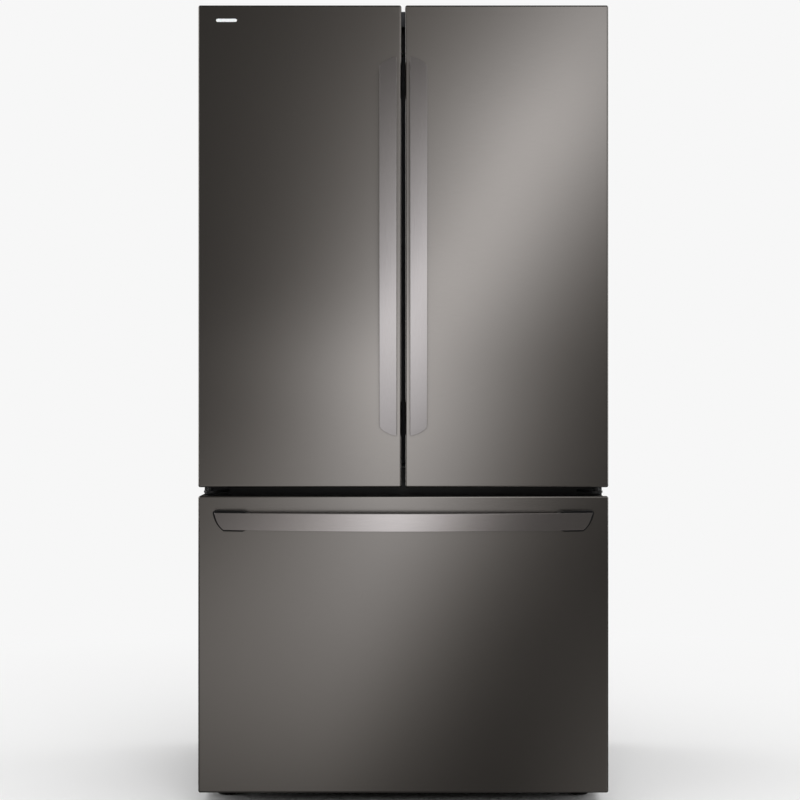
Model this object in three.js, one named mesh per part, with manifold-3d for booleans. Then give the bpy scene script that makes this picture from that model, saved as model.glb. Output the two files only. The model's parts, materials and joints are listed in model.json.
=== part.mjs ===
// A counter-depth French door refrigerator: two doors over a freezer drawer.
// Millimetres, +Z up. The front faces -Y, and the origin is on the floor, under the middle of the whole.
import * as THREE from 'three';
import { mergeVertices } from 'three/addons/utils/BufferGeometryUtils.js';
import Module from 'manifold-3d';

const wasm = await Module();
wasm.setup();

// ---------------------------------------------------------------- driving dimensions

const TOTAL = { width: 908, height: 1784, depth: 797 };
const HANDLE_PROUD = 64; // handle's outermost face, in front of the doors
const DOOR_DEPTH = 114; // front of the doors to front of the case
const GAP = 0.3; // kept between pieces that touch

const FRONT = -TOTAL.depth / 2 + HANDLE_PROUD; // front face of the doors
const REAR = TOTAL.depth / 2;
const HALF = TOTAL.width / 2;

const DOOR = {
  bottom: 712, height: 1067, centreGap: 8, skin: 1.2, edge: 4, corner: 0.8, skinDepth: 86,
  back: 94, lipDepth: 25, lipHeight: 32, carrierEdge: -0.8,
};
const DRAWER = { bottom: 36, height: 657, carrierEdge: 4 }; // the carrier shows round the handle's ends
const CASE = { half: 453, front: FRONT + DOOR_DEPTH, bottom: 40, top: 1749, sheet: 1.5 };
const HINGE = { x: 434, y: FRONT + 60, pin: 6, bore: 6.5 };

const FRESH = { half: 406, floor: 752, ceiling: 1697, rear: 338 };
const FREEZER = { half: 398, floor: 100, ceiling: 655, rear: 316, stepRear: 98, stepTop: 342 };
const LINER = 2; // thickness of the inner liners
const MACHINE = { front: 150, top: 290 }; // compressor bay, behind and under the freezer
const PAN = { bottom: 58, top: 61 };

// What projects behind a door: gasket, the raised rim that enters the compartment, and the pocket in it.
const RIM = { depth: 54, width: 22, pocketFloor: 62 };
const GASKET = { width: 22, thick: DOOR_DEPTH - DOOR.back - 2 * GAP };

const HANDLE = {
  length: 832, width: 37, slant: 16.6, thick: 12, endProud: 36,
  mountLength: 76, backing: 5, edgeFromGap: 11, bowSteps: 36,
};

// ---------------------------------------------------------------- materials

const finish = (color, roughness, metalness, opacity = 1) =>
  new THREE.MeshStandardMaterial({ color, roughness, metalness, opacity, transparent: opacity < 1 });

const MATERIAL = {
  blackSteel: finish(0x5b5853, 0.32, 0.9),
  handleSteel: finish(0x8d8987, 0.25, 0.95),
  caseSteel: finish(0x2f2f30, 0.6, 0.4),
  galvanised: finish(0x9a9c9e, 0.5, 0.8),
  blackPlastic: finish(0x141414, 0.6, 0),
  greyPlastic: finish(0x34353a, 0.55, 0),
  whitePlastic: finish(0xf0f1f2, 0.35, 0),
  foam: finish(0xe6d9a8, 0.95, 0),
  rubber: finish(0x3c3d40, 0.8, 0),
  clearPlastic: finish(0xe4eef2, 0.12, 0, 0.35),
  glass: finish(0xd8ebe6, 0.05, 0, 0.35),
  lens: finish(0xfdfdf6, 0.3, 0),
  aluminium: finish(0xb9bcc0, 0.4, 0.9),
  compressorBlack: finish(0x1a1b1d, 0.45, 0.5),
};

// ---------------------------------------------------------------- solids

function solidFrom(geometry) {
  const bare = new THREE.BufferGeometry();
  bare.setAttribute('position', geometry.getAttribute('position'));
  bare.setIndex(geometry.index);
  const merged = mergeVertices(bare, 1e-4);
  return new wasm.Manifold(new wasm.Mesh({
    numProp: 3,
    vertProperties: new Float32Array(merged.getAttribute('position').array),
    triVerts: new Uint32Array(merged.index.array),
  }));
}

function meshFrom(name, solid, material) {
  const { vertProperties, triVerts } = solid.getMesh();
  const geometry = new THREE.BufferGeometry();
  geometry.setAttribute('position', new THREE.BufferAttribute(vertProperties, 3));
  geometry.setIndex(new THREE.BufferAttribute(triVerts, 1));
  geometry.computeVertexNormals();
  const mesh = new THREE.Mesh(geometry, material);
  mesh.name = name;
  return mesh;
}

const join = (...solids) => solids.reduce((whole, piece) => whole.add(piece));
const cut = (solid, ...tools) => tools.reduce((rest, tool) => rest.subtract(tool), solid);

function block([x0, x1], [y0, y1], [z0, z1]) {
  const box = new THREE.BoxGeometry(x1 - x0, y1 - y0, z1 - z0);
  box.translate((x0 + x1) / 2, (y0 + y1) / 2, (z0 + z1) / 2);
  return solidFrom(box);
}

const X = new THREE.Vector3(1, 0, 0);
const Y = new THREE.Vector3(0, 1, 0);
const Z = new THREE.Vector3(0, 0, 1);

// A prism from an outline in two axes, run along the third between the two ends given.
function prism(along, outline, [from, to], curveSegments = 6) {
  const shape = outline instanceof THREE.Shape
    ? outline
    : new THREE.Shape(outline.map(([u, v]) => new THREE.Vector2(u, v)));
  const geometry = new THREE.ExtrudeGeometry(shape, { depth: to - from, bevelEnabled: false, curveSegments });
  const place = new THREE.Matrix4();
  if (along === 'x') place.makeBasis(Y, Z, X).setPosition(from, 0, 0);
  if (along === 'y') place.makeBasis(X, Z, Y.clone().negate()).setPosition(0, to, 0);
  if (along === 'z') place.setPosition(0, 0, from);
  return solidFrom(geometry.applyMatrix4(place));
}

// A round bar along one axis; the centre gives its other two coordinates, in X, Y, Z order.
function rod(along, [u, v], radius, [from, to], sides = 16) {
  const outline = new THREE.Shape();
  for (let i = 0; i < sides; i += 1) {
    const angle = (2 * Math.PI * i) / sides;
    outline[i ? 'lineTo' : 'moveTo'](u + radius * Math.cos(angle), v + radius * Math.sin(angle));
  }
  return prism(along, outline, [from, to]);
}

// A closed rectangular ring in the X-Z plane, such as a gasket or a door's raised rim.
function ring([x0, x1], [z0, z1], width, [y0, y1]) {
  return cut(
    block([x0, x1], [y0, y1], [z0, z1]),
    block([x0 + width, x1 - width], [y0 - 1, y1 + 1], [z0 + width, z1 - width]),
  );
}

// An open-topped tray with walls of one thickness.
function tray([x0, x1], [y0, y1], [z0, z1], wall) {
  return cut(
    block([x0, x1], [y0, y1], [z0, z1]),
    block([x0 + wall, x1 - wall], [y0 + wall, y1 - wall], [z0 + wall, z1 + 1]),
  );
}

// ---------------------------------------------------------------- cabinet

const CASE_X = [-CASE.half, CASE.half];
const INSIDE_X = [-CASE.half + CASE.sheet, CASE.half - CASE.sheet];
const PANEL = { inner: REAR - 4, thick: 1.5 }; // the rear sheets, set in from the shell's rear edges
const PANEL_X = [INSIDE_X[0] + GAP, INSIDE_X[1] - GAP];

// Painted steel wrap: two sides and a top, with a front frame round both openings and a rail between them.
function cabinetShell() {
  const outer = block(CASE_X, [CASE.front, REAR], [CASE.bottom, CASE.top]);
  const hollow = block(
    INSIDE_X, [CASE.front + CASE.sheet, REAR + 1], [CASE.bottom - 1, CASE.top - CASE.sheet],
  );
  const lap = 0.5; // the frame stops just short of each liner's inner face
  const openings = [FRESH, FREEZER].map((room) => block(
    [-room.half - lap, room.half + lap],
    [CASE.front - 1, CASE.front + 3],
    [room.floor - lap, room.ceiling + lap],
  ));
  return meshFrom('cabinet_shell', cut(outer, hollow, ...openings), MATERIAL.caseSteel);
}

const LINER_FRONT = CASE.front + CASE.sheet + GAP; // just behind the shell's front frame

function freshLinerOuter(grow = 0, front = LINER_FRONT) {
  const wall = LINER + grow;
  return block(
    [-FRESH.half - wall, FRESH.half + wall],
    [front, FRESH.rear + wall],
    [FRESH.floor - wall, FRESH.ceiling + wall],
  );
}

// The freezer's side profile, with the step over the compressor bay, pushed outwards by a wall thickness.
function freezerProfile(wall, front) {
  return [
    [front, FREEZER.floor - wall],
    [FREEZER.stepRear + wall, FREEZER.floor - wall],
    [FREEZER.stepRear + wall, FREEZER.stepTop - wall],
    [FREEZER.rear + wall, FREEZER.stepTop - wall],
    [FREEZER.rear + wall, FREEZER.ceiling + wall],
    [front, FREEZER.ceiling + wall],
  ];
}

function freezerLinerOuter(grow = 0, front = LINER_FRONT) {
  const wall = LINER + grow;
  const half = FREEZER.half + wall;
  return prism('x', freezerProfile(wall, front), [-half, half]);
}

const PANTRY_RAIL = { x: 340, width: 10, top: 756.7 };
const LADDER = { width: 9, depth: 7 };

function freshFoodLiner() {
  const hollow = block([-FRESH.half, FRESH.half], [CASE.front - 1, FRESH.rear], [FRESH.floor, FRESH.ceiling]);
  const features = [-1, 1].flatMap((side) => {
    const rail = [side * PANTRY_RAIL.x - PANTRY_RAIL.width / 2, side * PANTRY_RAIL.x + PANTRY_RAIL.width / 2];
    const ladder = [side * (FRESH.half - 4) - LADDER.width / 2, side * (FRESH.half - 4) + LADDER.width / 2];
    return [
      block(rail, [-110, 300], [FRESH.floor - 1, PANTRY_RAIL.top]),
      block(ladder, [FRESH.rear - LADDER.depth, FRESH.rear + 1], [1100, 1680]),
    ];
  });
  const liner = join(cut(freshLinerOuter(), hollow), ...features);
  return meshFrom('fresh_food_liner', liner, MATERIAL.whitePlastic);
}

function freezerLiner() {
  const hollow = prism('x', freezerProfile(0, CASE.front - 1), [-FREEZER.half, FREEZER.half]);
  return meshFrom('freezer_liner', cut(freezerLinerOuter(), hollow), MATERIAL.whitePlastic);
}

// Foamed insulation between the steel wrap and the two liners, cut away over the compressor bay.
function cabinetFoam() {
  const filled = block(
    [INSIDE_X[0] + GAP, INSIDE_X[1] - GAP],
    [LINER_FRONT, PANEL.inner - GAP],
    [PAN.top + GAP, CASE.top - CASE.sheet - GAP],
  );
  const bay = block([-HALF, HALF], [MACHINE.front, REAR], [0, MACHINE.top]);
  const rooms = [freshLinerOuter, freezerLinerOuter].map((outer) => outer(2 * GAP, CASE.front));
  return meshFrom('cabinet_foam', cut(filled, bay, ...rooms), MATERIAL.foam);
}

// Rear sheet above the compressor bay, with two pressed stiffening fields.
function rearPanel() {
  const outer = PANEL.inner + PANEL.thick;
  const sheet = block(PANEL_X, [PANEL.inner, outer], [MACHINE.top + 2, CASE.top - CASE.sheet - GAP]);
  const fields = [-1, 1].map((side) => block(
    [side * 225 - 190, side * 225 + 190], [outer - 0.6, outer + 1], [400, 1660],
  ));
  return meshFrom('rear_panel', cut(sheet, ...fields), MATERIAL.galvanised);
}

// Service cover of the compressor bay, with rows of air slots.
function machineCover() {
  const sheet = block(PANEL_X, [PANEL.inner, PANEL.inner + PANEL.thick], [PAN.bottom - 8, MACHINE.top + 1]);
  const slots = [];
  for (let row = 0; row < 4; row += 1) {
    for (let column = 0; column < 6; column += 1) {
      const x = -330 + column * 116;
      const z = 110 + row * 38;
      slots.push(block([x, x + 80], [PANEL.inner - 1, REAR], [z, z + 9]));
    }
  }
  const cordInlet = { x: 400, radius: 14, bore: 5 };
  const waterInlet = { x: -400, radius: 11, bore: 4 };
  const inlets = [cordInlet, waterInlet];
  const bosses = inlets.map(({ x, radius }) => rod('y', [x, 100], radius, [382, PANEL.inner + 1]));
  const bores = inlets.map(({ x, bore }) => rod('y', [x, 100], bore, [380, REAR + 1], 12));
  return meshFrom('machine_cover', cut(join(sheet, ...bosses), ...slots, ...bores), MATERIAL.galvanised);
}

const LEG = { x: 405, y: -180, stem: 6, boss: 14 };
const ROLLER = { x: 378, y: 335, radius: 22, width: 20, axle: 4 };

// Steel floor of the cabinet: leg bosses, roller ears and the kick grille under the drawer.
function basePan() {
  const half = INSIDE_X[1] - GAP;
  const front = CASE.front + 4;
  const plate = block([-half, half], [front, PANEL.inner - GAP], [PAN.bottom, PAN.top]);
  const kick = block([-half, half], [front, front + 3], [14, PAN.bottom + 1]);
  const kickSlots = [];
  for (let i = 0; i < 12; i += 1) {
    const x = -385 + i * 66;
    kickSlots.push(block([x, x + 44], [front - 1, front + 4], [26, 34]));
  }
  const supports = [-1, 1].flatMap((side) => {
    const ears = [-1, 1].map((face) => {
      const x = side * ROLLER.x + face * (ROLLER.width / 2 + 4);
      return block([x - 1.5, x + 1.5], [ROLLER.y - 14, ROLLER.y + 14], [10, PAN.bottom + 1]);
    });
    return [rod('z', [side * LEG.x, LEG.y], LEG.boss, [38, PAN.bottom + 1], 12), ...ears];
  });
  const bores = [-1, 1].map((side) => rod(
    'z', [side * LEG.x, LEG.y], LEG.stem + 0.4, [30, PAN.bottom - 2], 12,
  ));
  const axleBore = rod('x', [ROLLER.y, ROLLER.radius], ROLLER.axle + 0.5, [-half, half], 12);
  const pan = cut(join(plate, kick, ...supports), ...kickSlots, ...bores, axleBore);
  return meshFrom('base_pan', pan, MATERIAL.blackPlastic);
}

// ---------------------------------------------------------------- hinges and their cover

const TOP_PLATE = { bottom: CASE.top + GAP, thick: 4 };
const CENTRE_PLATE = { bottom: 697, thick: 5 };

// Outline of a hinge arm seen from above: a strip on the case that narrows to a round eye on the hinge axis.
function hingeArm(side, rear, innerX) {
  const eye = 14;
  const outline = new THREE.Shape();
  const x = side * HINGE.x;
  outline.moveTo(x + side * 14, rear);
  outline.lineTo(x + side * 14, HINGE.y + 4);
  outline.absarc(x, HINGE.y, eye, side > 0 ? 0 : Math.PI, side > 0 ? -Math.PI : 2 * Math.PI, side > 0);
  outline.lineTo(side * innerX, Math.min(CASE.front, rear - 10));
  outline.lineTo(side * innerX, rear);
  return outline;
}

function topHinge(name, side) {
  const { bottom, thick } = TOP_PLATE;
  const arm = prism('z', hingeArm(side, CASE.front + 72, 392), [bottom, bottom + thick], 8);
  const pin = rod('z', [side * HINGE.x, HINGE.y], HINGE.pin, [bottom - 28, bottom + 1]);
  const stop = rod('z', [side * (HINGE.x - 26), CASE.front + 30], 7, [bottom + 1, bottom + 14], 12);
  return meshFrom(name, join(arm, pin, stop), MATERIAL.galvanised);
}

function centreHinge(name, side) {
  const { bottom, thick } = CENTRE_PLATE;
  const face = CASE.front - GAP;
  const arm = prism('z', hingeArm(side, face, 396), [bottom, bottom + thick], 8);
  const flange = block(
    side > 0 ? [396, HINGE.x + 14] : [-HINGE.x - 14, -396], [face - 4, face], [bottom - 12, bottom + 18],
  );
  const pin = rod('z', [side * HINGE.x, HINGE.y], HINGE.pin, [bottom + 1, DOOR.bottom + 24]);
  return meshFrom(name, join(arm, flange, pin), MATERIAL.caseSteel);
}

// Plan outline of the top cover: a straight band with a round nose over each hinge.
function coverOutline(inset) {
  const outline = new THREE.Shape();
  const side = 451 - inset;
  const nose = 32.5 - inset;
  const reach = side - HINGE.x; // the nose is cut off by the side wall
  const meet = Math.acos(reach / nose);
  const bandFront = CASE.front - 30 + inset;
  outline.moveTo(-side, CASE.front + 95 - inset);
  outline.lineTo(-side, HINGE.y - nose * Math.sin(meet));
  outline.absarc(-HINGE.x, HINGE.y, nose, Math.PI + meet, 1.5 * Math.PI, false);
  outline.lineTo(-382 - inset, HINGE.y - nose);
  outline.bezierCurveTo(-364 - inset, HINGE.y - nose, -362 - inset, bandFront, -340 - inset, bandFront);
  outline.lineTo(340 + inset, bandFront);
  outline.bezierCurveTo(362 + inset, bandFront, 364 + inset, HINGE.y - nose, 382 + inset, HINGE.y - nose);
  outline.lineTo(HINGE.x, HINGE.y - nose);
  outline.absarc(HINGE.x, HINGE.y, nose, 1.5 * Math.PI, 2 * Math.PI - meet, false);
  outline.lineTo(side, CASE.front + 95 - inset);
  return outline;
}

function topCover() {
  const wall = 2.5;
  const outer = prism('z', coverOutline(0), [CASE.top + GAP, TOTAL.height], 5);
  const hollow = prism('z', coverOutline(wall), [CASE.top - 1, TOTAL.height - wall], 5);
  return meshFrom('top_cover', cut(outer, hollow), MATERIAL.greyPlastic);
}

// ---------------------------------------------------------------- refrigeration machinery

function compressor() {
  const profile = [
    [0, 0], [62, 0], [76, 14], [80, 30], [80, 118], [76, 136], [62, 152], [40, 162], [0, 166],
  ].map(([radius, z]) => new THREE.Vector2(radius, z));
  const can = solidFrom(new THREE.LatheGeometry(profile, 20).rotateX(Math.PI / 2).translate(265, 270, 68));
  const seat = block([175, 355], [210, 330], [PAN.top + GAP, 72]);
  const feet = [190, 340].flatMap((x) => [222, 318].map((y) => rod('z', [x, y], 11, [70, 84], 10)));
  const stub = rod('x', [270, 190], 5, [170, 200], 8);
  return meshFrom('compressor', join(can, seat, ...feet, stub), MATERIAL.compressorBlack);
}

// A stack of fins across a few tubes, for a heat exchanger; the fins stand across X.
function finStack([x0, x1], [y0, y1], [z0, z1], count, tubes) {
  const fin = 2;
  const step = (x1 - x0 - fin) / (count - 1);
  const fins = Array.from({ length: count }, (_, i) => {
    const x = x0 + i * step;
    return block([x, x + fin], [y0, y1], [z0, z1]);
  });
  const pipes = tubes.map((centre) => rod('x', centre, 5, [x0 - 14, x1 + 14], 8));
  return join(...fins, ...pipes);
}

function condenser() {
  const tubes = [110, 190].flatMap((z) => [[215, z], [295, z]]);
  const stack = finStack([-330, -130], [190, 320], [76, 228], 9, tubes);
  const feet = [-330, -140].map((x) => block([x, x + 10], [200, 310], [PAN.top + GAP, 80]));
  return meshFrom('condenser', join(stack, ...feet), MATERIAL.aluminium);
}

// A small axial fan: a hub with pitched blades. It is built along Z and turned by its caller.
function fanSolid(radius, hub, blades, depth) {
  const sweep = Math.PI / 5;
  const parts = [rod('z', [0, 0], hub, [-depth / 2, depth / 2], 14)];
  for (let i = 0; i < blades; i += 1) {
    const blade = new THREE.BoxGeometry(radius - hub + 4, 26, 2.4);
    blade.rotateX(sweep);
    blade.translate((radius + hub - 4) / 2, 0, 0);
    blade.rotateZ((2 * Math.PI * i) / blades);
    parts.push(solidFrom(blade));
  }
  return join(...parts);
}

const CONDENSER_FAN = { x: -60, y: 262, z: 152, radius: 58 };
const EVAPORATOR_FAN = { x: 0, y: 278, z: 600, radius: 42 };

function fan(name, place, turn, hub, blades, depth) {
  const mesh = meshFrom(name, fanSolid(place.radius, hub, blades, depth), MATERIAL.blackPlastic);
  mesh.rotation.set(...turn);
  mesh.position.set(place.x, place.y, place.z);
  return mesh;
}

function evaporator() {
  const tubes = [400, 500].flatMap((z) => [[274, z], [300, z]]);
  return meshFrom('evaporator', finStack([-250, 250], [264, 310], [352, 548], 12, tubes), MATERIAL.aluminium);
}

// White panel in front of the evaporator, with the fan opening and rows of air slots.
function freezerDuctCover() {
  const { x, z, radius } = EVAPORATOR_FAN;
  const sheet = block([-396, 396], [250, 254], [FREEZER.stepTop + GAP, FREEZER.ceiling - GAP]);
  const opening = rod('y', [x, z], radius + 3, [240, 260], 20);
  const slots = [-1, 1].flatMap((side) => [0, 1, 2].map((row) => block(
    [side * 230 - 110, side * 230 + 110], [240, 260], [570 + row * 22, 578 + row * 22],
  )));
  return meshFrom('freezer_duct_cover', cut(sheet, opening, ...slots), MATERIAL.whitePlastic);
}

const machinery = () => [
  compressor(),
  condenser(),
  fan('condenser_fan', CONDENSER_FAN, [0, Math.PI / 2, 0], 17, 5, 24),
  evaporator(),
  fan('evaporator_fan', EVAPORATOR_FAN, [Math.PI / 2, 0, 0], 13, 5, 22),
  freezerDuctCover(),
];

// ---------------------------------------------------------------- legs and rollers

function levellingLeg(name, side) {
  const pad = rod('z', [side * LEG.x, LEG.y], 21, [0, 10], 16);
  const nut = rod('z', [side * LEG.x, LEG.y], 11, [9, 18], 6);
  const stem = rod('z', [side * LEG.x, LEG.y], LEG.stem, [17, 54], 12);
  return meshFrom(name, join(pad, nut, stem), MATERIAL.blackPlastic);
}

function rearRollers() {
  const centre = [ROLLER.y, ROLLER.radius];
  const wheels = [-1, 1].map((side) => rod(
    'x', centre, ROLLER.radius, [side * ROLLER.x - ROLLER.width / 2, side * ROLLER.x + ROLLER.width / 2], 20,
  ));
  const end = ROLLER.x + ROLLER.width / 2 + 10;
  const axle = rod('x', centre, ROLLER.axle, [-end, end], 10);
  return meshFrom('rear_rollers', join(axle, ...wheels), MATERIAL.greyPlastic);
}

// ---------------------------------------------------------------- inside the fresh food compartment

const SHELF = { front: -118, rear: 320, inner: 9, outer: 401, thick: 13, glass: 4, rim: 16 };
const SHELF_LEVEL = { upper: 1470, lower: 1250 };

// A cantilevered half-width shelf: a rimmed plate on two triangular side arms.
function shelf(name, side, z) {
  const x = side > 0 ? [SHELF.inner, SHELF.outer] : [-SHELF.outer, -SHELF.inner];
  const plate = block(x, [SHELF.front, SHELF.rear], [z - SHELF.thick, z]);
  const well = block(
    [x[0] + SHELF.rim, x[1] - SHELF.rim],
    [SHELF.front + SHELF.rim, SHELF.rear - SHELF.rim],
    [z - SHELF.thick - 1, z - SHELF.glass],
  );
  const arm = [[20, z - SHELF.thick + 1], [SHELF.rear, z - 62], [SHELF.rear, z - SHELF.thick + 1]];
  const arms = [x[0], x[1] - 3].map((from) => prism('x', arm, [from, from + 3]));
  return meshFrom(name, join(cut(plate, well), ...arms), MATERIAL.glass);
}

// Air duct on the back wall, with outlet slots and the middle pair of shelf ladders.
function freshAirDuct() {
  const panel = block([-112, 112], [328, FRESH.rear - GAP], [1092, 1682]);
  const ladders = [-1, 1].map((side) => block(
    [side * 16 - LADDER.width / 2, side * 16 + LADDER.width / 2], [322, 329], [1100, 1674],
  ));
  const slots = [-1, 1].flatMap((side) => [1150, 1200, 1330, 1380, 1550, 1600].map((z) => block(
    [side * 66 - 26, side * 66 + 26], [327, 332], [z, z + 8],
  )));
  return meshFrom('fresh_air_duct', join(cut(panel, ...slots), ...ladders), MATERIAL.whitePlastic);
}

function ceilingLight() {
  return meshFrom('ceiling_light', prism('z', [
    [-160, -80], [160, -80], [150, 40], [-150, 40],
  ], [1688, FRESH.ceiling - GAP]), MATERIAL.lens);
}

const COVER = { front: -112, bottom: 1062, top: 1075 };
const CRISPER = { front: -104, rear: 300, bottom: 888, top: 1052, flange: 1034, wall: 2.5 };
const PANTRY = { front: -104, rear: 300, bottom: 757, top: 876, half: 394 };

// Glass cover over the crispers, with three hangers whose ledges carry the drawers' flanges.
function crisperCover() {
  const half = 402;
  const plate = block([-half, half], [COVER.front, 326], [COVER.bottom, COVER.top]);
  const well = block([-half + 18, half - 18], [COVER.front + 20, 306], [COVER.bottom - 1, COVER.top - 4]);
  const hangers = [
    block([-half, -half + 3], [COVER.front + 4, 310], [1029, COVER.bottom + 1]),
    block([half - 3, half], [COVER.front + 4, 310], [1029, COVER.bottom + 1]),
    block([-2, 2], [COVER.front + 4, 310], [1029, COVER.top - 3]),
    block([-half, -half + 10], [COVER.front + 4, 310], [1029, 1032]),
    block([half - 10, half], [COVER.front + 4, 310], [1029, 1032]),
    block([-11, 11], [COVER.front + 4, 310], [1029, 1032]),
  ];
  return meshFrom('crisper_cover', join(cut(plate, well), ...hangers), MATERIAL.glass);
}

// A drawer's pull: a lip along the top of its front, with a finger hollow behind it.
function pull(x0, x1, front, top) {
  return cut(
    block([x0, x1], [front - 9, front + 1], [top - 26, top]),
    block([x0 + 3, x1 - 3], [front - 6, front], [top - 27, top - 4]),
  );
}

function crisper(name, side) {
  const x = side > 0 ? [15, 388] : [-388, -15];
  const body = tray(x, [CRISPER.front, CRISPER.rear], [CRISPER.bottom, CRISPER.top], CRISPER.wall);
  const flangeZ = [CRISPER.flange - 1.5, CRISPER.flange + 1.5];
  const flanges = [
    block([x[0] - 9, x[0] + 1], [CRISPER.front + 6, CRISPER.rear], flangeZ),
    block([x[1] - 1, x[1] + 9], [CRISPER.front + 6, CRISPER.rear], flangeZ),
  ];
  const front = pull(x[0] + 70, x[1] - 70, CRISPER.front, CRISPER.top);
  return meshFrom(name, join(body, ...flanges, front), MATERIAL.clearPlastic);
}

function pantryDrawer() {
  const x = [-PANTRY.half, PANTRY.half];
  const body = tray(x, [PANTRY.front, PANTRY.rear], [PANTRY.bottom, PANTRY.top], 3);
  const front = pull(-160, 160, PANTRY.front, PANTRY.top);
  return meshFrom('pantry_drawer', join(body, front), MATERIAL.clearPlastic);
}

const DISPENSER = { x: [-405.7, -344], y: [-146, -58], z: [1378, 1452], spout: [-374, -112] };
const LEVER = { y: -84, z: 1372, radius: 3 };

// Water outlet on the left wall: a housing with a spout and two ears that hold the lever's pivot.
function waterDispenser() {
  const { x, y, z, spout } = DISPENSER;
  const housing = prism('x', [
    [y[0], z[0] + 14], [y[0] + 14, z[0]], [y[1], z[0]], [y[1], z[1]], [y[0] + 8, z[1]], [y[0], z[1] - 8],
  ], x);
  const nozzle = rod('z', spout, 8, [z[0] - 11, z[0] + 1], 12);
  const ears = [x[0] + 4, x[1] - 8].map((from) => cut(
    block([from, from + 4], [LEVER.y - 8, LEVER.y + 8], [LEVER.z - 8, z[0] + 1]),
    rod('x', [LEVER.y, LEVER.z], LEVER.radius + 0.5, [from - 1, from + 5], 10),
  ));
  return meshFrom('water_dispenser', join(housing, nozzle, ...ears), MATERIAL.greyPlastic);
}

function dispenserLever() {
  const { x } = DISPENSER;
  const pivot = rod('x', [LEVER.y, LEVER.z], LEVER.radius, [x[0] + 3, x[1] - 3], 10);
  const paddle = block([x[0] + 12, x[1] - 12], [LEVER.y - 2, LEVER.y + 2], [1306, LEVER.z]);
  return meshFrom('dispenser_lever', join(pivot, paddle), MATERIAL.greyPlastic);
}

const interior = () => [
  freshAirDuct(),
  ceilingLight(),
  shelf('shelf_left_upper', -1, SHELF_LEVEL.upper),
  shelf('shelf_right_upper', 1, SHELF_LEVEL.upper),
  shelf('shelf_left_lower', -1, SHELF_LEVEL.lower),
  shelf('shelf_right_lower', 1, SHELF_LEVEL.lower),
  crisperCover(),
  crisper('crisper_left', -1),
  crisper('crisper_right', 1),
  pantryDrawer(),
  waterDispenser(),
  dispenserLever(),
];

// ---------------------------------------------------------------- doors and drawer front

// A flat panel with rounded front edges, its front at y = 0 and its back at y = depth. The inset shrinks it
// evenly on every side but the back, so that one panel nests in another.
function roundedPanel(width, height, depth, inset = 0) {
  const { edge, corner } = DOOR;
  const radius = edge - inset;
  const x = width / 2 - edge - corner;
  const [low, high] = [edge + corner, height - edge - corner];
  const outline = new THREE.Shape();
  outline.absarc(x, low, corner, -Math.PI / 2, 0);
  outline.absarc(x, high, corner, 0, Math.PI / 2);
  outline.absarc(-x, high, corner, Math.PI / 2, Math.PI);
  outline.absarc(-x, low, corner, Math.PI, 1.5 * Math.PI);
  const geometry = new THREE.ExtrudeGeometry(outline, {
    depth: depth - edge,
    bevelEnabled: true,
    bevelThickness: radius,
    bevelSize: radius,
    bevelSegments: 4,
    curveSegments: 4,
  });
  geometry.applyMatrix4(new THREE.Matrix4().makeBasis(X, Z, Y.clone().negate()).setPosition(0, depth, 0));
  return cut(solidFrom(geometry), block([-width, width], [depth, depth + edge + 1], [-edge, height + edge]));
}

// What a door's top lip leaves free behind it, for the hinge.
function behindLip(width, height, clearance = 0) {
  return block(
    [-width, width], [DOOR.lipDepth - clearance, 2 * DOOR.back], [height - DOOR.lipHeight, height + 1],
  );
}

// Outer skin of a door or of the drawer front: a steel tray with its open side at the back.
function frontSkin(width, height, lip) {
  const outer = roundedPanel(width, height, DOOR.skinDepth);
  const inner = roundedPanel(width, height, DOOR.skinDepth + 1, DOOR.skin);
  const skin = cut(outer, inner);
  return lip ? cut(skin, behindLip(width, height)) : skin;
}

// Foam-filled inner half of a door: it fills the skin and carries the raised rim with its pocket.
function frontCore(width, height, lip, rimX, rimZ) {
  const body = roundedPanel(width, height, DOOR.back, DOOR.skin + GAP);
  const rim = block(rimX, [DOOR.back - 1, DOOR.back + RIM.depth], rimZ);
  const pocket = block(
    [rimX[0] + RIM.width, rimX[1] - RIM.width],
    [RIM.pocketFloor, DOOR.back + RIM.depth + 1],
    [rimZ[0] + RIM.width, rimZ[1] - RIM.width],
  );
  const core = cut(join(body, rim), pocket);
  return lip ? cut(core, behindLip(width, height, GAP)) : core;
}

// Front outline of a handle, lying along u from 0 to its length: v = 0 is the long edge.
function handleOutline(grow) {
  const { length, width, slant } = HANDLE;
  const outline = new THREE.Shape();
  outline.moveTo(3, -grow);
  outline.lineTo(length - 3, -grow);
  outline.quadraticCurveTo(length + grow, -grow, length + grow - 1, 3);
  outline.quadraticCurveTo(length - 0.35 * slant + grow, 0.72 * width, length - slant - 4, width + grow);
  outline.lineTo(slant + 4, width + grow);
  outline.quadraticCurveTo(0.35 * slant - grow, 0.72 * width, 1 - grow, 3);
  outline.quadraticCurveTo(-grow, -grow, 3, -grow);
  return outline;
}

// How far the handle's outer face stands in front of the door, at distance u along it.
function bow(u) {
  const { length, endProud } = HANDLE;
  const sagitta = HANDLE_PROUD - endProud;
  const radius = (length * length) / (8 * sagitta) + sagitta / 2;
  const fromMiddle = u - length / 2;
  return HANDLE_PROUD - radius + Math.sqrt(radius * radius - fromMiddle * fromMiddle);
}

// The space between two offsets below the handle's outer face, as a prism across the handle's width.
function bowBand(outerOffset, innerOffset, width) {
  const { length, bowSteps } = HANDLE;
  const stations = Array.from({ length: bowSteps + 1 }, (_, i) => -8 + ((length + 16) * i) / bowSteps);
  const outline = [
    ...stations.map((u) => [u, outerOffset - bow(u)]),
    ...stations.reverse().map((u) => [u, innerOffset - bow(u)]),
  ];
  return prism('z', outline, width);
}

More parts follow.
